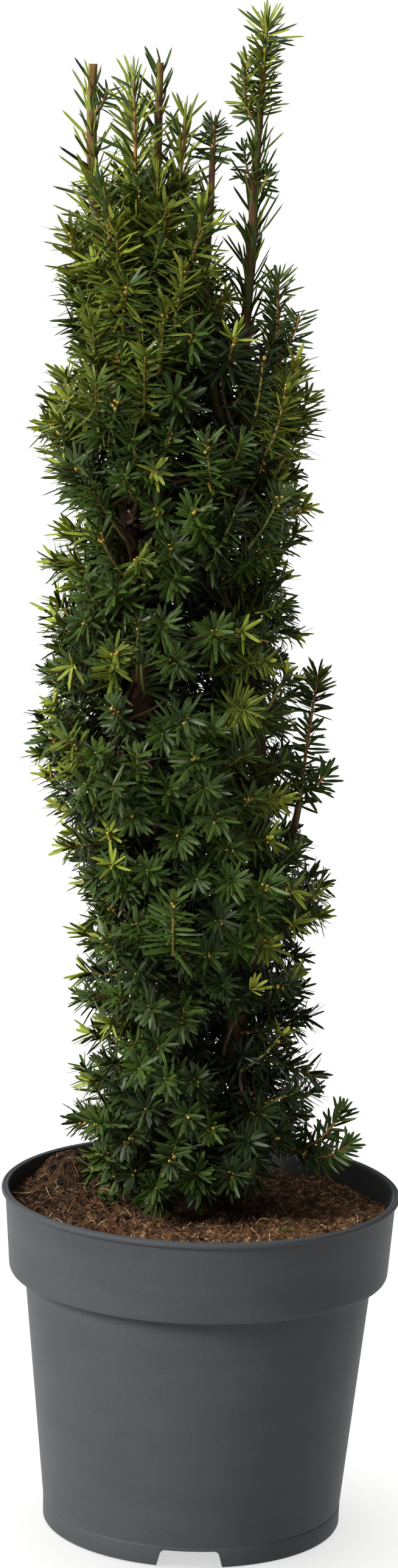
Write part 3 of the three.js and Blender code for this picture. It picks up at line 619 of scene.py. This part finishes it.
MASS_DEPTH = 0.45  # how far to the front or back a mass lies
masses = []
for column, foot, top in (("left", CROWN_FOOT, CROWN_TOP), ("right", CROWN_FOOT + 9, RIGHT_COLUMN_TOP)):
    height = (top - foot) / (TIERS + STAGGER["back"])
    for tier in range(TIERS):
        for side, towards in (("front", -1), ("back", 1)):
            z = foot + (tier + 0.5 + STAGGER[side]) * height
            left, right = reach_at(z)
            between = (course_at(LIMBS["trunk"]["course"], z)[0, 0]
                       + course_at(LIMBS["right_stem"]["course"], max(z, 300))[0, 0]) / 2
            low, high = (left, between) if column == "left" else (between, right)
            middle = ((low + high) / 2, towards * MASS_DEPTH * DEPTH_SHARE * (right - left) / 2, z)
            masses.append({
                "name": f"foliage_{column}_{tier + 1}_{side}", "middle": np.array(middle),
                "stem": "trunk" if column == "left" else "right_stem",
            })
middles = np.array([mass["middle"] for mass in masses])

needle_green = {  # upper face and underside, from the dark inside of the crown to its newest tips; the shade and dim tones are painted shade
    "shade": ((0.0049, 0.0107, 0.0025), (0.0082, 0.0131, 0.0025)),
    "dim": ((0.0074, 0.0164, 0.0033), (0.018, 0.0279, 0.0049)),
    "deep": ((0.0131, 0.0287, 0.0041), (0.0377, 0.0525, 0.0066)),
    "green": ((0.023, 0.0508, 0.0066), (0.0623, 0.0861, 0.0098)),
    "blue": ((0.0221, 0.0443, 0.0107), (0.0525, 0.0722, 0.0164)),
    "olive": ((0.064, 0.0886, 0.009), (0.1394, 0.1599, 0.0164)),
    "fresh": ((0.1517, 0.1886, 0.0164), (0.2378, 0.2747, 0.0287)),
    "gold": ((0.246, 0.2665, 0.0246), (0.3034, 0.3239, 0.0369)),
    "seedling": ((0.018, 0.0574, 0.0082), (0.0369, 0.0697, 0.0123)),
    "loose": ((0.045, 0.085, 0.012), (0.07, 0.10, 0.02)),
}
MIXED_IN = {"dim": "deep", "deep": "green", "green": "blue", "blue": "deep", "olive": "green",
            "fresh": "olive", "gold": "fresh"}
MIXED_SHARE = 0.2  # needles of a spray that take the tone mixed into its own
NEEDLE_LENGTH, NEEDLE_WIDTH, NEEDLE_DROOP = 20.5, 2.6, 0.12
NEEDLE_LENGTHS, NEEDLE_WIDTHS = (0.76, 1.1), (0.85, 1.12)  # shares of the length and width asked for
UNEVEN = {  # how far needles stray from the rule
    "turn": 0.18, "splay": 11, "way": 0.11, "face": 0.40, "bend": 0.09,
}
FACE_UP, FACE_OUT = 0.3, 0.7
bank = {tone: [] for tone in needle_green}
twig_bank = {"green_twig": [], "golden_twig": [], "tan_twig": [], "brown_twig": []}
buds = []


def bend_through(points, s):
    """Points and headings at shares s along a curve bent through a foot, a middle and a tip."""
    a, b, c = (np.asarray(p, float) for p in points)
    handle = 2 * b - (a + c) / 2
    s = s[:, None]
    place = (1 - s) ** 2 * a + 2 * s * (1 - s) * handle + s * s * c
    return place, unit((1 - s) * (handle - a) + s * (c - handle))


def needles_on(points, count, length, splay, tone, rng, start=0.0, end=1.0, width=NEEDLE_WIDTH,
               facing=None, curl=-0.07):
    """Sets needles in a spiral round a twig. Splay is their angle to it at its foot and at its tip.

    A row of the bank is one needle: root, way, upper side, then length, width and bend.
    """
    s = start + (end - start) * (np.arange(count) + rng.random(count) * 0.8) / count
    middle, along = bend_through(points, np.minimum(s, 1))
    across, third = sideways(along)
    a = GOLDEN * np.arange(count) + rng.random() * 7 + rng.normal(0, UNEVEN["turn"], count)
    round_about = across * np.cos(a)[:, None] + third * np.sin(a)[:, None]
    gone = (s - start) / (end - start)
    angle = np.radians(splay[0] + (splay[1] - splay[0]) * gone**1.5 + rng.normal(0, UNEVEN["splay"], count))
    ways = along * np.cos(angle)[:, None] + round_about * np.sin(angle)[:, None]
    ways = unit(ways - UP * NEEDLE_DROOP + rng.normal(0, UNEVEN["way"], (count, 3)))
    light = UP * FACE_UP + (0 if facing is None else np.asarray(facing) * FACE_OUT)
    uppers = along + light + rng.normal(0, UNEVEN["face"], (count, 3))
    uppers = unit(uppers - ways * (uppers * ways).sum(1)[:, None])
    roots = middle + round_about * 0.6
    lengths = length * rng.uniform(*NEEDLE_LENGTHS, count) * (1 - 0.3 * gone**3)
    widths = width * rng.uniform(*NEEDLE_WIDTHS, count)
    bends = rng.normal(curl, UNEVEN["bend"], count)
    rows = np.concatenate([roots, ways, uppers, lengths[:, None], widths[:, None], bends[:, None]], 1)
    strays = rng.random(count) < MIXED_SHARE
    bank[tone].append(rows[~strays])
    bank[MIXED_IN.get(tone, tone)].append(rows[strays])


def twig(points, r_foot, r_tip, kind):
    """Keeps a twig's course, at five stations, for the joined twig meshes."""
    twig_bank[kind].append((bend_through(points, np.linspace(0, 1, 5))[0], np.linspace(r_foot, r_tip, 5)))


def scatter(candidates, apart):
    """Keeps candidates that lie at least a distance apart. Heights count for less than level distances."""
    scaled = candidates * [1, 1, 0.75]
    kept = np.empty((len(candidates), 3))
    rows = []
    for row, p in enumerate(scaled):
        if len(rows) == 0 or ((kept[:len(rows)] - p) ** 2).sum(1).min() > apart * apart:
            kept[len(rows)] = p
            rows.append(row)
    return rows


# the shoots' tips lie in three layers under the crown's sides and tops: candidates, depth, distance
# apart, then the shoot's length and its needles for each mm
crown_rng = np.random.default_rng(31)
LAYERS = {
    "outer": {"candidates": 18000, "depth": (3, 19), "apart": 19, "length": (36, 58), "needles": 1.18},
    "inner": {"candidates": 8000, "depth": (26, 46), "apart": 21, "length": (34, 50), "needles": 0.75},
    "core": {"candidates": 5000, "depth": (50, 76), "apart": 25, "length": (34, 50), "needles": 0.75},
}
# hollows between the columns, where no shoot ends: centre and radius
HOLLOWS = np.array([(15, -66, 655, 32), (26, -70, 340, 34), (4, -58, 775, 32), (-2, -66, 590, 20),
                    (8, 64, 700, 32), (12, 68, 450, 32), (20, 66, 300, 26)])
INNER_HOLLOW = 0.7  # the share of a hollow's radius that the inner layers keep clear
# narrow gaps through which the trunk's bark shows: x and z at the trunk, and radius
GLIMPSES = np.array([(-60, 681, 11), (-50, 573, 10)])
GLIMPSE_RISE, GLIMPSE_STRETCH, GLIMPSE_MARGIN = 0.12, 1.9, 4
COVER, COVERED = 34, 0.95  # this far above an inner shoot's tip, the crown share stays under this
WEDGE_MIDDLE, WEDGE_HALF, WEDGE_FOOT = 12, 22, 700  # the wedge between the columns, where the dim tone paints shade
SKIRT_MIDDLE, SKIRT_RISE = -34, 0.2  # the crown's foot hangs lowest here and rises to both sides
TOP_TIP_SHARE = 0.9  # crown share under which a shoot may stand under the crown's top
shoots = []


def beside_glimpse(p, margin, stretch=1.0):
    """Whether points lie in one of the gaps that lead to the trunk, stretched upright."""
    rise = p[:, None, 2] + p[:, None, 1] * GLIMPSE_RISE - GLIMPSES[:, 1]
    off = np.hypot(p[:, None, 0] - GLIMPSES[:, 0], rise / stretch)
    return (off < GLIMPSES[:, 2] + margin).any(1) & (p[:, 1] < -3)


for layer, rule in LAYERS.items():
    count = rule["candidates"]
    z = crown_rng.uniform(CROWN_FOOT + 3, CROWN_TOP - 8, count)
    around = crown_rng.uniform(0, 2 * np.pi, count)
    depth = crown_rng.uniform(*rule["depth"], count)
    tips, out = crown_side(z, around, depth)
    inside = np.column_stack([crown_rng.uniform(-128, 84, count), crown_rng.uniform(-90, 90, count), z])
    for rise in (0, rule["depth"][0] + 2):
        inside = inside[crown_share(inside + UP * rise) < TOP_TIP_SHARE]
    inside = inside[crown_share(inside + UP * (rule["depth"][1] + 4)) > 1]
    flat_out = np.column_stack([inside[:, 0] + 20, inside[:, 1]]) / 60
    tips = np.concatenate([tips, inside])
    out = np.concatenate([out, flat_out])
    is_top = np.arange(len(tips)) >= count
    order = crown_rng.permutation(len(tips))
    tips, out, is_top = tips[order], out[order], is_top[order]
    for row in scatter(tips, rule["apart"]):
        tip, level_out, on_top = tips[row], out[row], is_top[row]
        outer = layer == "outer"
        uncovered = not outer and crown_share(tip + UP * COVER) > COVERED
        hollows = HOLLOWS[:, 3] * (1 if outer else INNER_HOLLOW)
        if uncovered or tip[2] < CROWN_FOOT + 2 + SKIRT_RISE * abs(tip[0] - SKIRT_MIDDLE):
            continue
        if (np.linalg.norm(HOLLOWS[:, :3] - tip, axis=1) < hollows).any():
            continue
        if beside_glimpse(tip[None], GLIMPSE_MARGIN)[0]:
            continue
        shoots.append({"tip": tip, "out": np.append(level_out, 0), "layer": layer, "on_top": on_top})

SHADE_WIDTH = NEEDLE_WIDTH * 1.1  # needles deep in the crown are drawn broader and plainer, and in the shade tone as painted shade
TONES = ["green", "deep", "blue", "olive", "dim"]
TONE_SHARES = np.array([0.46, 0.30, 0.16, 0.08])  # of the first four, away from the lit top
TONE_LIGHTER = np.array([-0.08, -0.20, -0.12, 0.40])  # what the lit top adds to them
DIM_TOP, DIM_RANGE, DIM_MOST = 470, 200, 0.92  # dim shoots, painted shade: from this height down, the darker the lower, and more of them towards the right
UPPER_FOOT, UPPER_RANGE = 700, 170  # the lit top, which the upper part of the left side joins; its lighter tones are partly painted light and partly new growth
STAR_NEEDLES, STAR_START = 8, 0.93  # the star of needles at a shoot's tip, and where it starts
BUD_SHARE, BUDS_FROM, BUDS_UNDER = 0.68, 2, 8
LIFT, LIFT_HIGH, LIFT_LOW, LIFT_SPREAD, LIFT_RANGE = 14, 42, 22, 15, (-24, 84)  # degrees from level
LOW_TOP, HIGH_RANGE, LOW_RANGE = 330, 520, 100
for shoot in shoots:
    tip, out, rule = shoot["tip"], shoot["out"], LAYERS[shoot["layer"]]
    high = np.clip((tip[2] - LOW_TOP) / HIGH_RANGE, 0, 1)
    low = np.clip((LOW_TOP - tip[2]) / LOW_RANGE, 0, 1)
    lift = crown_rng.normal(LIFT + LIFT_HIGH * high**2 - LIFT_LOW * low, LIFT_SPREAD)
    lift = math.radians(np.clip(lift, *LIFT_RANGE))
    if shoot["on_top"]:
        lift = math.radians(crown_rng.uniform(66, 88))
    along = unit(out * math.cos(lift) + UP * math.sin(lift) + crown_rng.normal(0, 0.13, 3))
    long = crown_rng.uniform(*rule["length"])
    foot = tip - along * long - UP * 2 + out * 3
    bow = (foot + tip) / 2 + (out - UP * 0.4) * crown_rng.uniform(0, 3.5)
    points = (foot, bow, tip)
    mass = masses[int(np.argmin(((middles - tip) ** 2).sum(1)))]
    joint = mass["middle"] + (foot - mass["middle"]) * 0.3 - UP * 5
    if crown_share(foot) < TOP_TIP_SHARE:
        twig([joint, (joint + foot) / 2 - UP * 2 - out * 4, foot], 1.4, 1.0, "brown_twig")
    draw = crown_rng.random()
    side = abs(out[0])
    needles = int(long * rule["needles"])
    # the inner layers take the shade tone: painted shade deep in the crown
    if shoot["layer"] != "outer":
        needles_on(points, needles, NEEDLE_LENGTH, (80, 44), "shade", crown_rng, 0.05, 1.0, SHADE_WIDTH, out)
        continue
    twig(points, 1.15, 0.75, "golden_twig" if draw < 0.6 else "green_twig")
    # lighter tones on the lit top and the upper left: partly painted light, partly new growth
    upper = np.clip((tip[2] - UPPER_FOOT) / UPPER_RANGE, 0, 1)
    upper_left = np.clip((-45 - tip[0]) / 50, 0, 1) * np.clip((tip[2] - 560) / 140, 0, 1)
    upper = max(upper, 0.75 * upper_left)
    # painted shade: low down and towards the right, more shoots take the dim tone
    dim = np.clip((DIM_TOP - tip[2]) / DIM_RANGE, 0, DIM_MOST) * np.clip((tip[0] + 50) / 60, 0.35, 1)
    # painted shade in the wedge between the columns
    if abs(tip[0] - WEDGE_MIDDLE) < WEDGE_HALF and tip[2] > WEDGE_FOOT:
        dim, upper = 0.7, 0.2 * upper
    # the fresh tone comes more often at the crown's edges and on the lit top: partly new growth, partly
    # painted light
    if draw < 0.08 * max(side - 0.6, 0) + 0.13 * upper * upper:
        tone = "fresh"
    else:
        shares = (TONE_SHARES + TONE_LIGHTER * upper) * (1 - dim)
        tone = crown_rng.choice(TONES, p=[*shares, dim])
    reach = NEEDLE_LENGTH * (1 + 0.2 * upper) * crown_rng.uniform(0.8, 1.1)
    splay = (76 - 12 * upper, 46 - 4 * upper)
    needles_on(points, needles, reach, splay, tone, crown_rng, 0.08, STAR_START, facing=out)
    star = crown_rng.random()
    # fresh and gold stars: rarer low down, as painted shade, and commoner at the edges and on the lit top,
    # partly as painted light
    young_and_lit = max(1 - 2.5 * low, 0)
    star_tone = "gold" if star < 0.02 * young_and_lit else tone
    if 0.02 <= star < young_and_lit * (0.04 + 0.38 * side**3 + 0.24 * upper):
        star_tone = "fresh"
    needles_on(points, STAR_NEEDLES, reach * 0.84, (56, 28), star_tone, crown_rng, STAR_START, facing=out)
    if crown_rng.random() < BUD_SHARE:
        for _ in range(crown_rng.integers(BUDS_FROM, BUDS_UNDER)):
            at, heading = bend_through(points, np.array([crown_rng.uniform(0.80, 1.0)]))
            away = crown_rng.normal(0, 1, 3) + out * 1.4
            away = unit(away - heading[0] * (away @ heading[0]))
            buds.append(at[0] + away * 2.0)
for mass in masses:
    course = LIMBS[mass["stem"]]["course"]
    wood = course_at(course, np.linspace(course[0][2], course[-1][2], 80))
    seat = wood[np.argmin(np.linalg.norm(wood - (mass["middle"] - UP * 25), axis=1))]
    twig([seat, (seat + mass["middle"]) / 2 + UP * 4, mass["middle"]], 2.6, 1.7, "brown_twig")

# ----------------------------------------
# Leaders and spires: upright shoots above the two columns. Young ones are dense
# with needles, the pruned ones keep a few long needles close to the wood, and the
# tallest ends in a short bushy tip. Two side shoots leave the right-hand column.
UPRIGHTS = [
    # course of three points, radius at foot and tip (0 on a limb's own wood), groups of needles:
    # (from share, to share, how many, length, splay at foot and at tip, tone, width unless usual)
    ("shoot_tall_tip", [(17, 0, 950), (18.4, 0, 984), (20, 0, 1010)], (2.1, 1.0), [
        (0.0, 0.72, 60, 17, 66, 50, "olive"), (0.0, 0.72, 34, 18, 62, 44, "fresh"),
        (0.05, 0.7, 40, 16, 70, 50, "green"),
        (0.76, 1.0, 22, 23, 60, 18, "fresh"), (0.72, 1.0, 14, 20, 66, 36, "green")]),
    ("shoot_tall_side", [(15, -1, 946), (7, -4, 962), (8, -5, 986)], (1.1, 0.7), [
        (0.1, 1.0, 46, 14, 66, 30, "olive"), (0.3, 1.0, 16, 14, 60, 30, "fresh")]),
    ("tall_whorl_left", [(15, -1, 904), (10, -4, 916), (7, -5, 930)], (1.0, 0.6), [
        (0.2, 1.0, 30, 13, 74, 30, "deep")]),
    ("tall_whorl_right", [(15, -1, 896), (20, -3, 906), (24, -4, 916)], (1.0, 0.6), [
        (0.3, 1.0, 26, 12, 74, 32, "green")]),
    ("right_stem_leader", [(12, 3, 806), (15, 0, 880), (17, 0, 956)], (0, 0), [
        (0.0, 0.85, 18, 31, 17, 9, "deep", 1.9), (0.1, 0.85, 6, 30, 17, 9, "olive", 1.9),
        (0.0, 0.5, 26, 30, 40, 28, "green", 1.8), (0.1, 1.0, 32, 31, 28, 18, "deep", 1.9),
        (0.0, 1.0, 22, 28, 34, 22, "olive", 1.8), (0.3, 1.0, 12, 26, 30, 20, "fresh", 1.9)]),
    ("shoot_inner_tip", [(-13, -8, 922), (-12.5, -8, 935), (-12, -8, 945)], (1.8, 1.2), [
        (0.0, 1.0, 50, 15, 84, 36, "deep")]),
    ("inner_leader", [(-10, -6, 792), (-15, -8, 850), (-13, -8, 926)], (0, 0), [
        (0.0, 0.6, 34, 26, 52, 40, "green"), (0.1, 1.0, 26, 26, 42, 28, "olive", 1.8),
        (0.2, 1.0, 12, 25, 40, 28, "fresh", 1.9)]),
    ("shoot_left_spire", [(-60, -14, 862), (-62, -14, 912), (-65, -14, 972)], (1.7, 0.9), [
        (0.0, 0.6, 46, 28, 56, 48, "fresh"), (0.0, 0.9, 42, 28, 54, 42, "olive"),
        (0.5, 1.0, 40, 27, 48, 18, "fresh"), (0.1, 1.0, 34, 27, 52, 26, "green")]),
    ("shoot_right_spire", [(-38, -7, 862), (-34, -6, 902), (-31, -6, 950)], (1.7, 0.9), [
        (0.0, 0.6, 38, 28, 56, 48, "fresh"), (0.0, 0.9, 34, 27, 54, 42, "green"),
        (0.5, 1.0, 36, 26, 48, 20, "fresh"), (0.2, 1.0, 26, 26, 46, 26, "olive")]),
    ("mid_spire", [(-47, -14, 846), (-48, -18, 880), (-48, -19, 914)], (1.5, 0.8), [
        (0.0, 1.0, 50, 26, 58, 24, "fresh"), (0.0, 0.9, 34, 26, 56, 34, "olive")]),
    ("left_sprig", [(-72, -16, 842), (-78, -22, 872), (-82, -24, 902)], (1.4, 0.8), [
        (0.0, 1.0, 44, 24, 62, 26, "green"), (0.2, 1.0, 24, 25, 58, 26, "olive")]),
    ("right_sprig", [(-30, -18, 842), (-22, -24, 866), (-18, -26, 890)], (1.4, 0.8), [
        (0.0, 1.0, 44, 24, 62, 26, "green"), (0.3, 1.0, 26, 25, 58, 26, "fresh")]),
    ("cut_left_leader", [(-86, 1, 872), (-91, 1, 925), (-92, 2, 978)], (0, 0), [
        (0.0, 0.6, 12, 30, 66, 50, "olive"), (0.0, 0.95, 18, 31, 46, 28, "fresh"),
        (0.05, 0.9, 12, 30, 17, 9, "fresh"), (0.0, 0.85, 7, 30, 16, 10, "green", 2.0),
        (0.2, 0.95, 12, 30, 52, 36, "deep")]),
    ("cut_left_rosette", [(-90, -2, 950), (-85, -3, 957), (-82, -3, 966)], (1.0, 0.6), [
        (0.2, 1.0, 18, 13, 74, 40, "green", 1.8)]),
    ("cut_mid_leader", [(-50, 11, 872), (-49, 12, 930), (-49, 12, 980)], (0, 0), [
        (0.1, 0.75, 9, 28, 16, 9, "olive", 2.0),
        (0.0, 0.7, 20, 27, 44, 30, "olive"), (0.5, 1.0, 18, 25, 44, 26, "green", 2.35)]),
    ("shoot_right_edge", [(33, -3, 770), (33, -5, 810), (32, -5, 847)], (1.5, 0.9), [
        (0.2, 0.85, 50, 19, 66, 54, "deep", 1.9), (0.5, 1.0, 44, 19, 64, 28, "green", 1.9),
        (0.85, 1.0, 14, 20, 60, 24, "olive", 1.9)]),
    ("right_edge_twiglet", [(33, -4, 796), (42, -9, 808), (47, -11, 824)], (1.1, 0.7), [
        (0.1, 1.0, 36, 18, 70, 32, "green", 1.9)]),
    ("shoot_side", [(57, -8, 498), (62, -8, 545), (67, -8, 588)], (1.4, 0.8), [
        (0.0, 0.32, 50, 17, 76, 56, "deep", 2.35), (0.36, 0.62, 38, 16, 76, 50, "green", 2.35),
        (0.68, 1.0, 46, 16, 76, 28, "deep", 2.35), (0.85, 1.0, 14, 17, 62, 28, "olive", 1.9)]),
    ("side_twiglet_low", [(59, -9, 508), (68, -14, 514), (76, -16, 526)], (1.1, 0.7), [
        (0.1, 1.0, 34, 16, 74, 34, "deep", 2.35)]),
    # the sprays at the crown's foot are mostly in the dim tone: painted shade
    ("foot_spray_left", [(-22, -22, 268), (-27, -40, 252), (-30, -50, 236)], (1.1, 0.6), [
        (0.2, 1.0, 40, 20, 66, 24, "deep", 2.4), (0.3, 1.0, 16, 20, 60, 24, "dim", 2.4)]),
    ("foot_spray_middle", [(-2, -20, 270), (0, -38, 256), (1, -48, 241)], (1.1, 0.6), [
        (0.2, 1.0, 40, 20, 68, 26, "dim", 2.4), (0.3, 1.0, 14, 19, 60, 24, "deep", 2.4)]),
    ("foot_spray_right", [(24, -18, 274), (30, -34, 263), (36, -42, 249)], (1.1, 0.6), [
        (0.2, 1.0, 44, 20, 68, 26, "dim", 2.4)]),
    ("shoot_low_sprig", [(60, -12, 262), (80, -16, 274), (94, -17, 296)], (1.5, 0.8), [
        (0.05, 1.0, 60, 18, 72, 30, "deep", 2.35)]),
    ("low_twiglet", [(66, -14, 262), (84, -18, 262), (99, -19, 272)], (1.1, 0.7), [
        (0.1, 1.0, 44, 17, 70, 30, "green", 2.35)]),
]
# the leaders and shoots that the source has as nodes of their own
SPIRE_NODES = [name for name, *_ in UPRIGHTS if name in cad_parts]
spire_rng = np.random.default_rng(5)
USUAL_WIDTH = 2.1
LEADER_FACING, LEADER_CURL = (-1.4, -2.2, 0), 0.16  # needles on old leaders curl back to the wood
for name, course, thick, groups in UPRIGHTS:
    if thick[0]:
        twig(course, *thick, "tan_twig")
    for start, end, count, length, wide, close, tone, *width in groups:
        needles_on(course, count, length, (wide, close), tone, spire_rng, start, end,
                   *(width or [USUAL_WIDTH]), LEADER_FACING, 0.0 if thick[0] else LEADER_CURL)

# tiny seedlings and two fallen needles lie on the medium
SEEDLINGS = [((-69, 7), 4), ((-63, 0), 6), ((-58, -6), 4)]  # place and number of leaves
for (x, y), leaves in SEEDLINGS:
    z = float(soil_height(x, y))
    sprout = [(x, y, z), (x, y, z + 2.5), (x + 1, y - 1, z + 5)]
    needles_on(sprout, leaves, 8, (78, 50), "seedling", spire_rng, width=3.8)
needles_on([(50, -70, 221), (51, -68, 223), (53, -66, 225)], 2, 14, (10, 20), "loose", spire_rng)

# ----------------------------------------
# Needles, twigs and buds as joined meshes. A needle is a closed blade with a dark
# upper face between paler rims, and a paler face below. A bud is a small ball.
CHUNK = 8000  # needles in one piece
SHADE_REACH = 0.86  # shade needles whose tips lie further out are left out
FOOT_ROOM = 10  # needles whose tips hang lower than this under the crown's foot are left out
# a blade's cross-section in shares of its width, the finish of each of its faces, 0 upper and 1 rim
# and underside, and its stations: share of its length and width there
RIMMED = {"ring": ((-0.5, 0), (-0.37, 0.1), (0.37, 0.1), (0.5, 0)), "slots": (1, 0, 1, 1),
          "stations": ((0.07, 0.75), (0.45, 1.0), (0.86, 0.70))}
PLAIN = {"ring": ((-0.5, 0), (0, 0.2), (0.5, 0)), "slots": (0, 0, 1), "stations": ((0.5, 1.0),)}


def blade_faces(blade):
    """The faces of one needle and their finishes: its root is point 0 and its tip the last point."""
    sides, stations = len(blade["ring"]), len(blade["stations"])
    tip = 1 + sides * stations
    faces, slots = [], []
    for k, slot in enumerate(blade["slots"]):
        nxt = (k + 1) % sides
        faces += [(0, 1 + nxt, 1 + k), (tip - sides + k, tip - sides + nxt, tip)]
        for a in range(1, tip - sides, sides):
            faces += [(a + k, a + nxt, a + sides + nxt), (a + k, a + sides + nxt, a + sides + k)]
        slots += [slot] * (2 * stations)
    return np.array(faces), np.array(slots)


for tone, found in bank.items():
    rows = np.concatenate(found)
    tips = rows[:, 0:3] + rows[:, 3:6] * rows[:, 9:10]
    if tone not in ("seedling", "loose"):
        in_glimpse = beside_glimpse((rows[:, 0:3] + tips) / 2, 1, GLIMPSE_STRETCH)
        kept = (tips[:, 2] > CROWN_FOOT - FOOT_ROOM) & ~in_glimpse
        if tone == "shade":
            kept &= crown_share(tips) < SHADE_REACH
        rows = rows[kept]
    upper, under = needle_green[tone]
    blade = PLAIN if tone == "shade" else RIMMED
    corners, slots = blade_faces(blade)
    finishes = [plain_finish("needle_" + tone, upper, 0.44, 0.20),
                plain_finish("needle_under_" + tone, under, 0.6, 0.15)]
    for part, start in enumerate(range(0, len(rows), CHUNK)):
        rows_now = rows[start:start + CHUNK]
        roots, ways, uppers = rows_now[:, 0:3], rows_now[:, 3:6], rows_now[:, 6:9]
        lengths, widths, bends = rows_now[:, 9:10], rows_now[:, 10:11], rows_now[:, 11:12]
        sides = np.cross(ways, uppers)
        points = [roots]
        for t, w in blade["stations"]:
            middle = roots + ways * lengths * t + uppers * bends * lengths * t * t
            points += [middle + (sides * across + uppers * above) * widths * w
                       for across, above in blade["ring"]]
        points.append(roots + ways * lengths + uppers * bends * lengths)
        points = np.stack(points, 1)
        faces = repeated(corners, len(rows_now), points.shape[1])
        foliage = mesh_from(f"needles_{tone}_{part + 1}", points.reshape(-1, 3) * MM, faces, finishes,
                            np.tile(slots, len(rows_now)))
        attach(foliage, "root")
        if tone == "deep" and part == 0:
            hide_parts(*[m["name"] for m in masses], *SPIRE_NODES)

for kind, colour in (("green_twig", (0.1312, 0.1312, 0.0287)), ("golden_twig", (0.1558, 0.1189, 0.0262)),
                     ("tan_twig", (0.246, 0.1189, 0.041)), ("brown_twig", (0.0697, 0.041, 0.023))):
    courses, radii = (np.stack(found) for found in zip(*twig_bank[kind]))
    twigs = strands(kind + "s", courses, radii, 5, plain_finish(kind, colour, 0.7, 0.3))
    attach(twigs, "root")

bpy.ops.object.select_all(action="DESELECT")
bpy.ops.mesh.primitive_ico_sphere_add(subdivisions=1, radius=1)
pattern = bpy.context.object
ball = np.array([v.co for v in pattern.data.vertices])
ball_faces = np.array([f.vertices for f in pattern.data.polygons])
bpy.data.objects.remove(pattern)
buds = np.array(buds)
bud_radius = crown_rng.uniform(1.05, 1.45, len(buds))
points = buds[:, None] + ball[None] * bud_radius[:, None, None]
faces = repeated(ball_faces, len(buds), len(ball))
bud_gold = plain_finish("bud_gold", (0.3936, 0.246, 0.041), 0.45, 0.4)
bud_cluster = mesh_from("flower_buds", points.reshape(-1, 3) * MM, faces, [bud_gold], smooth=True)
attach(bud_cluster, "root")
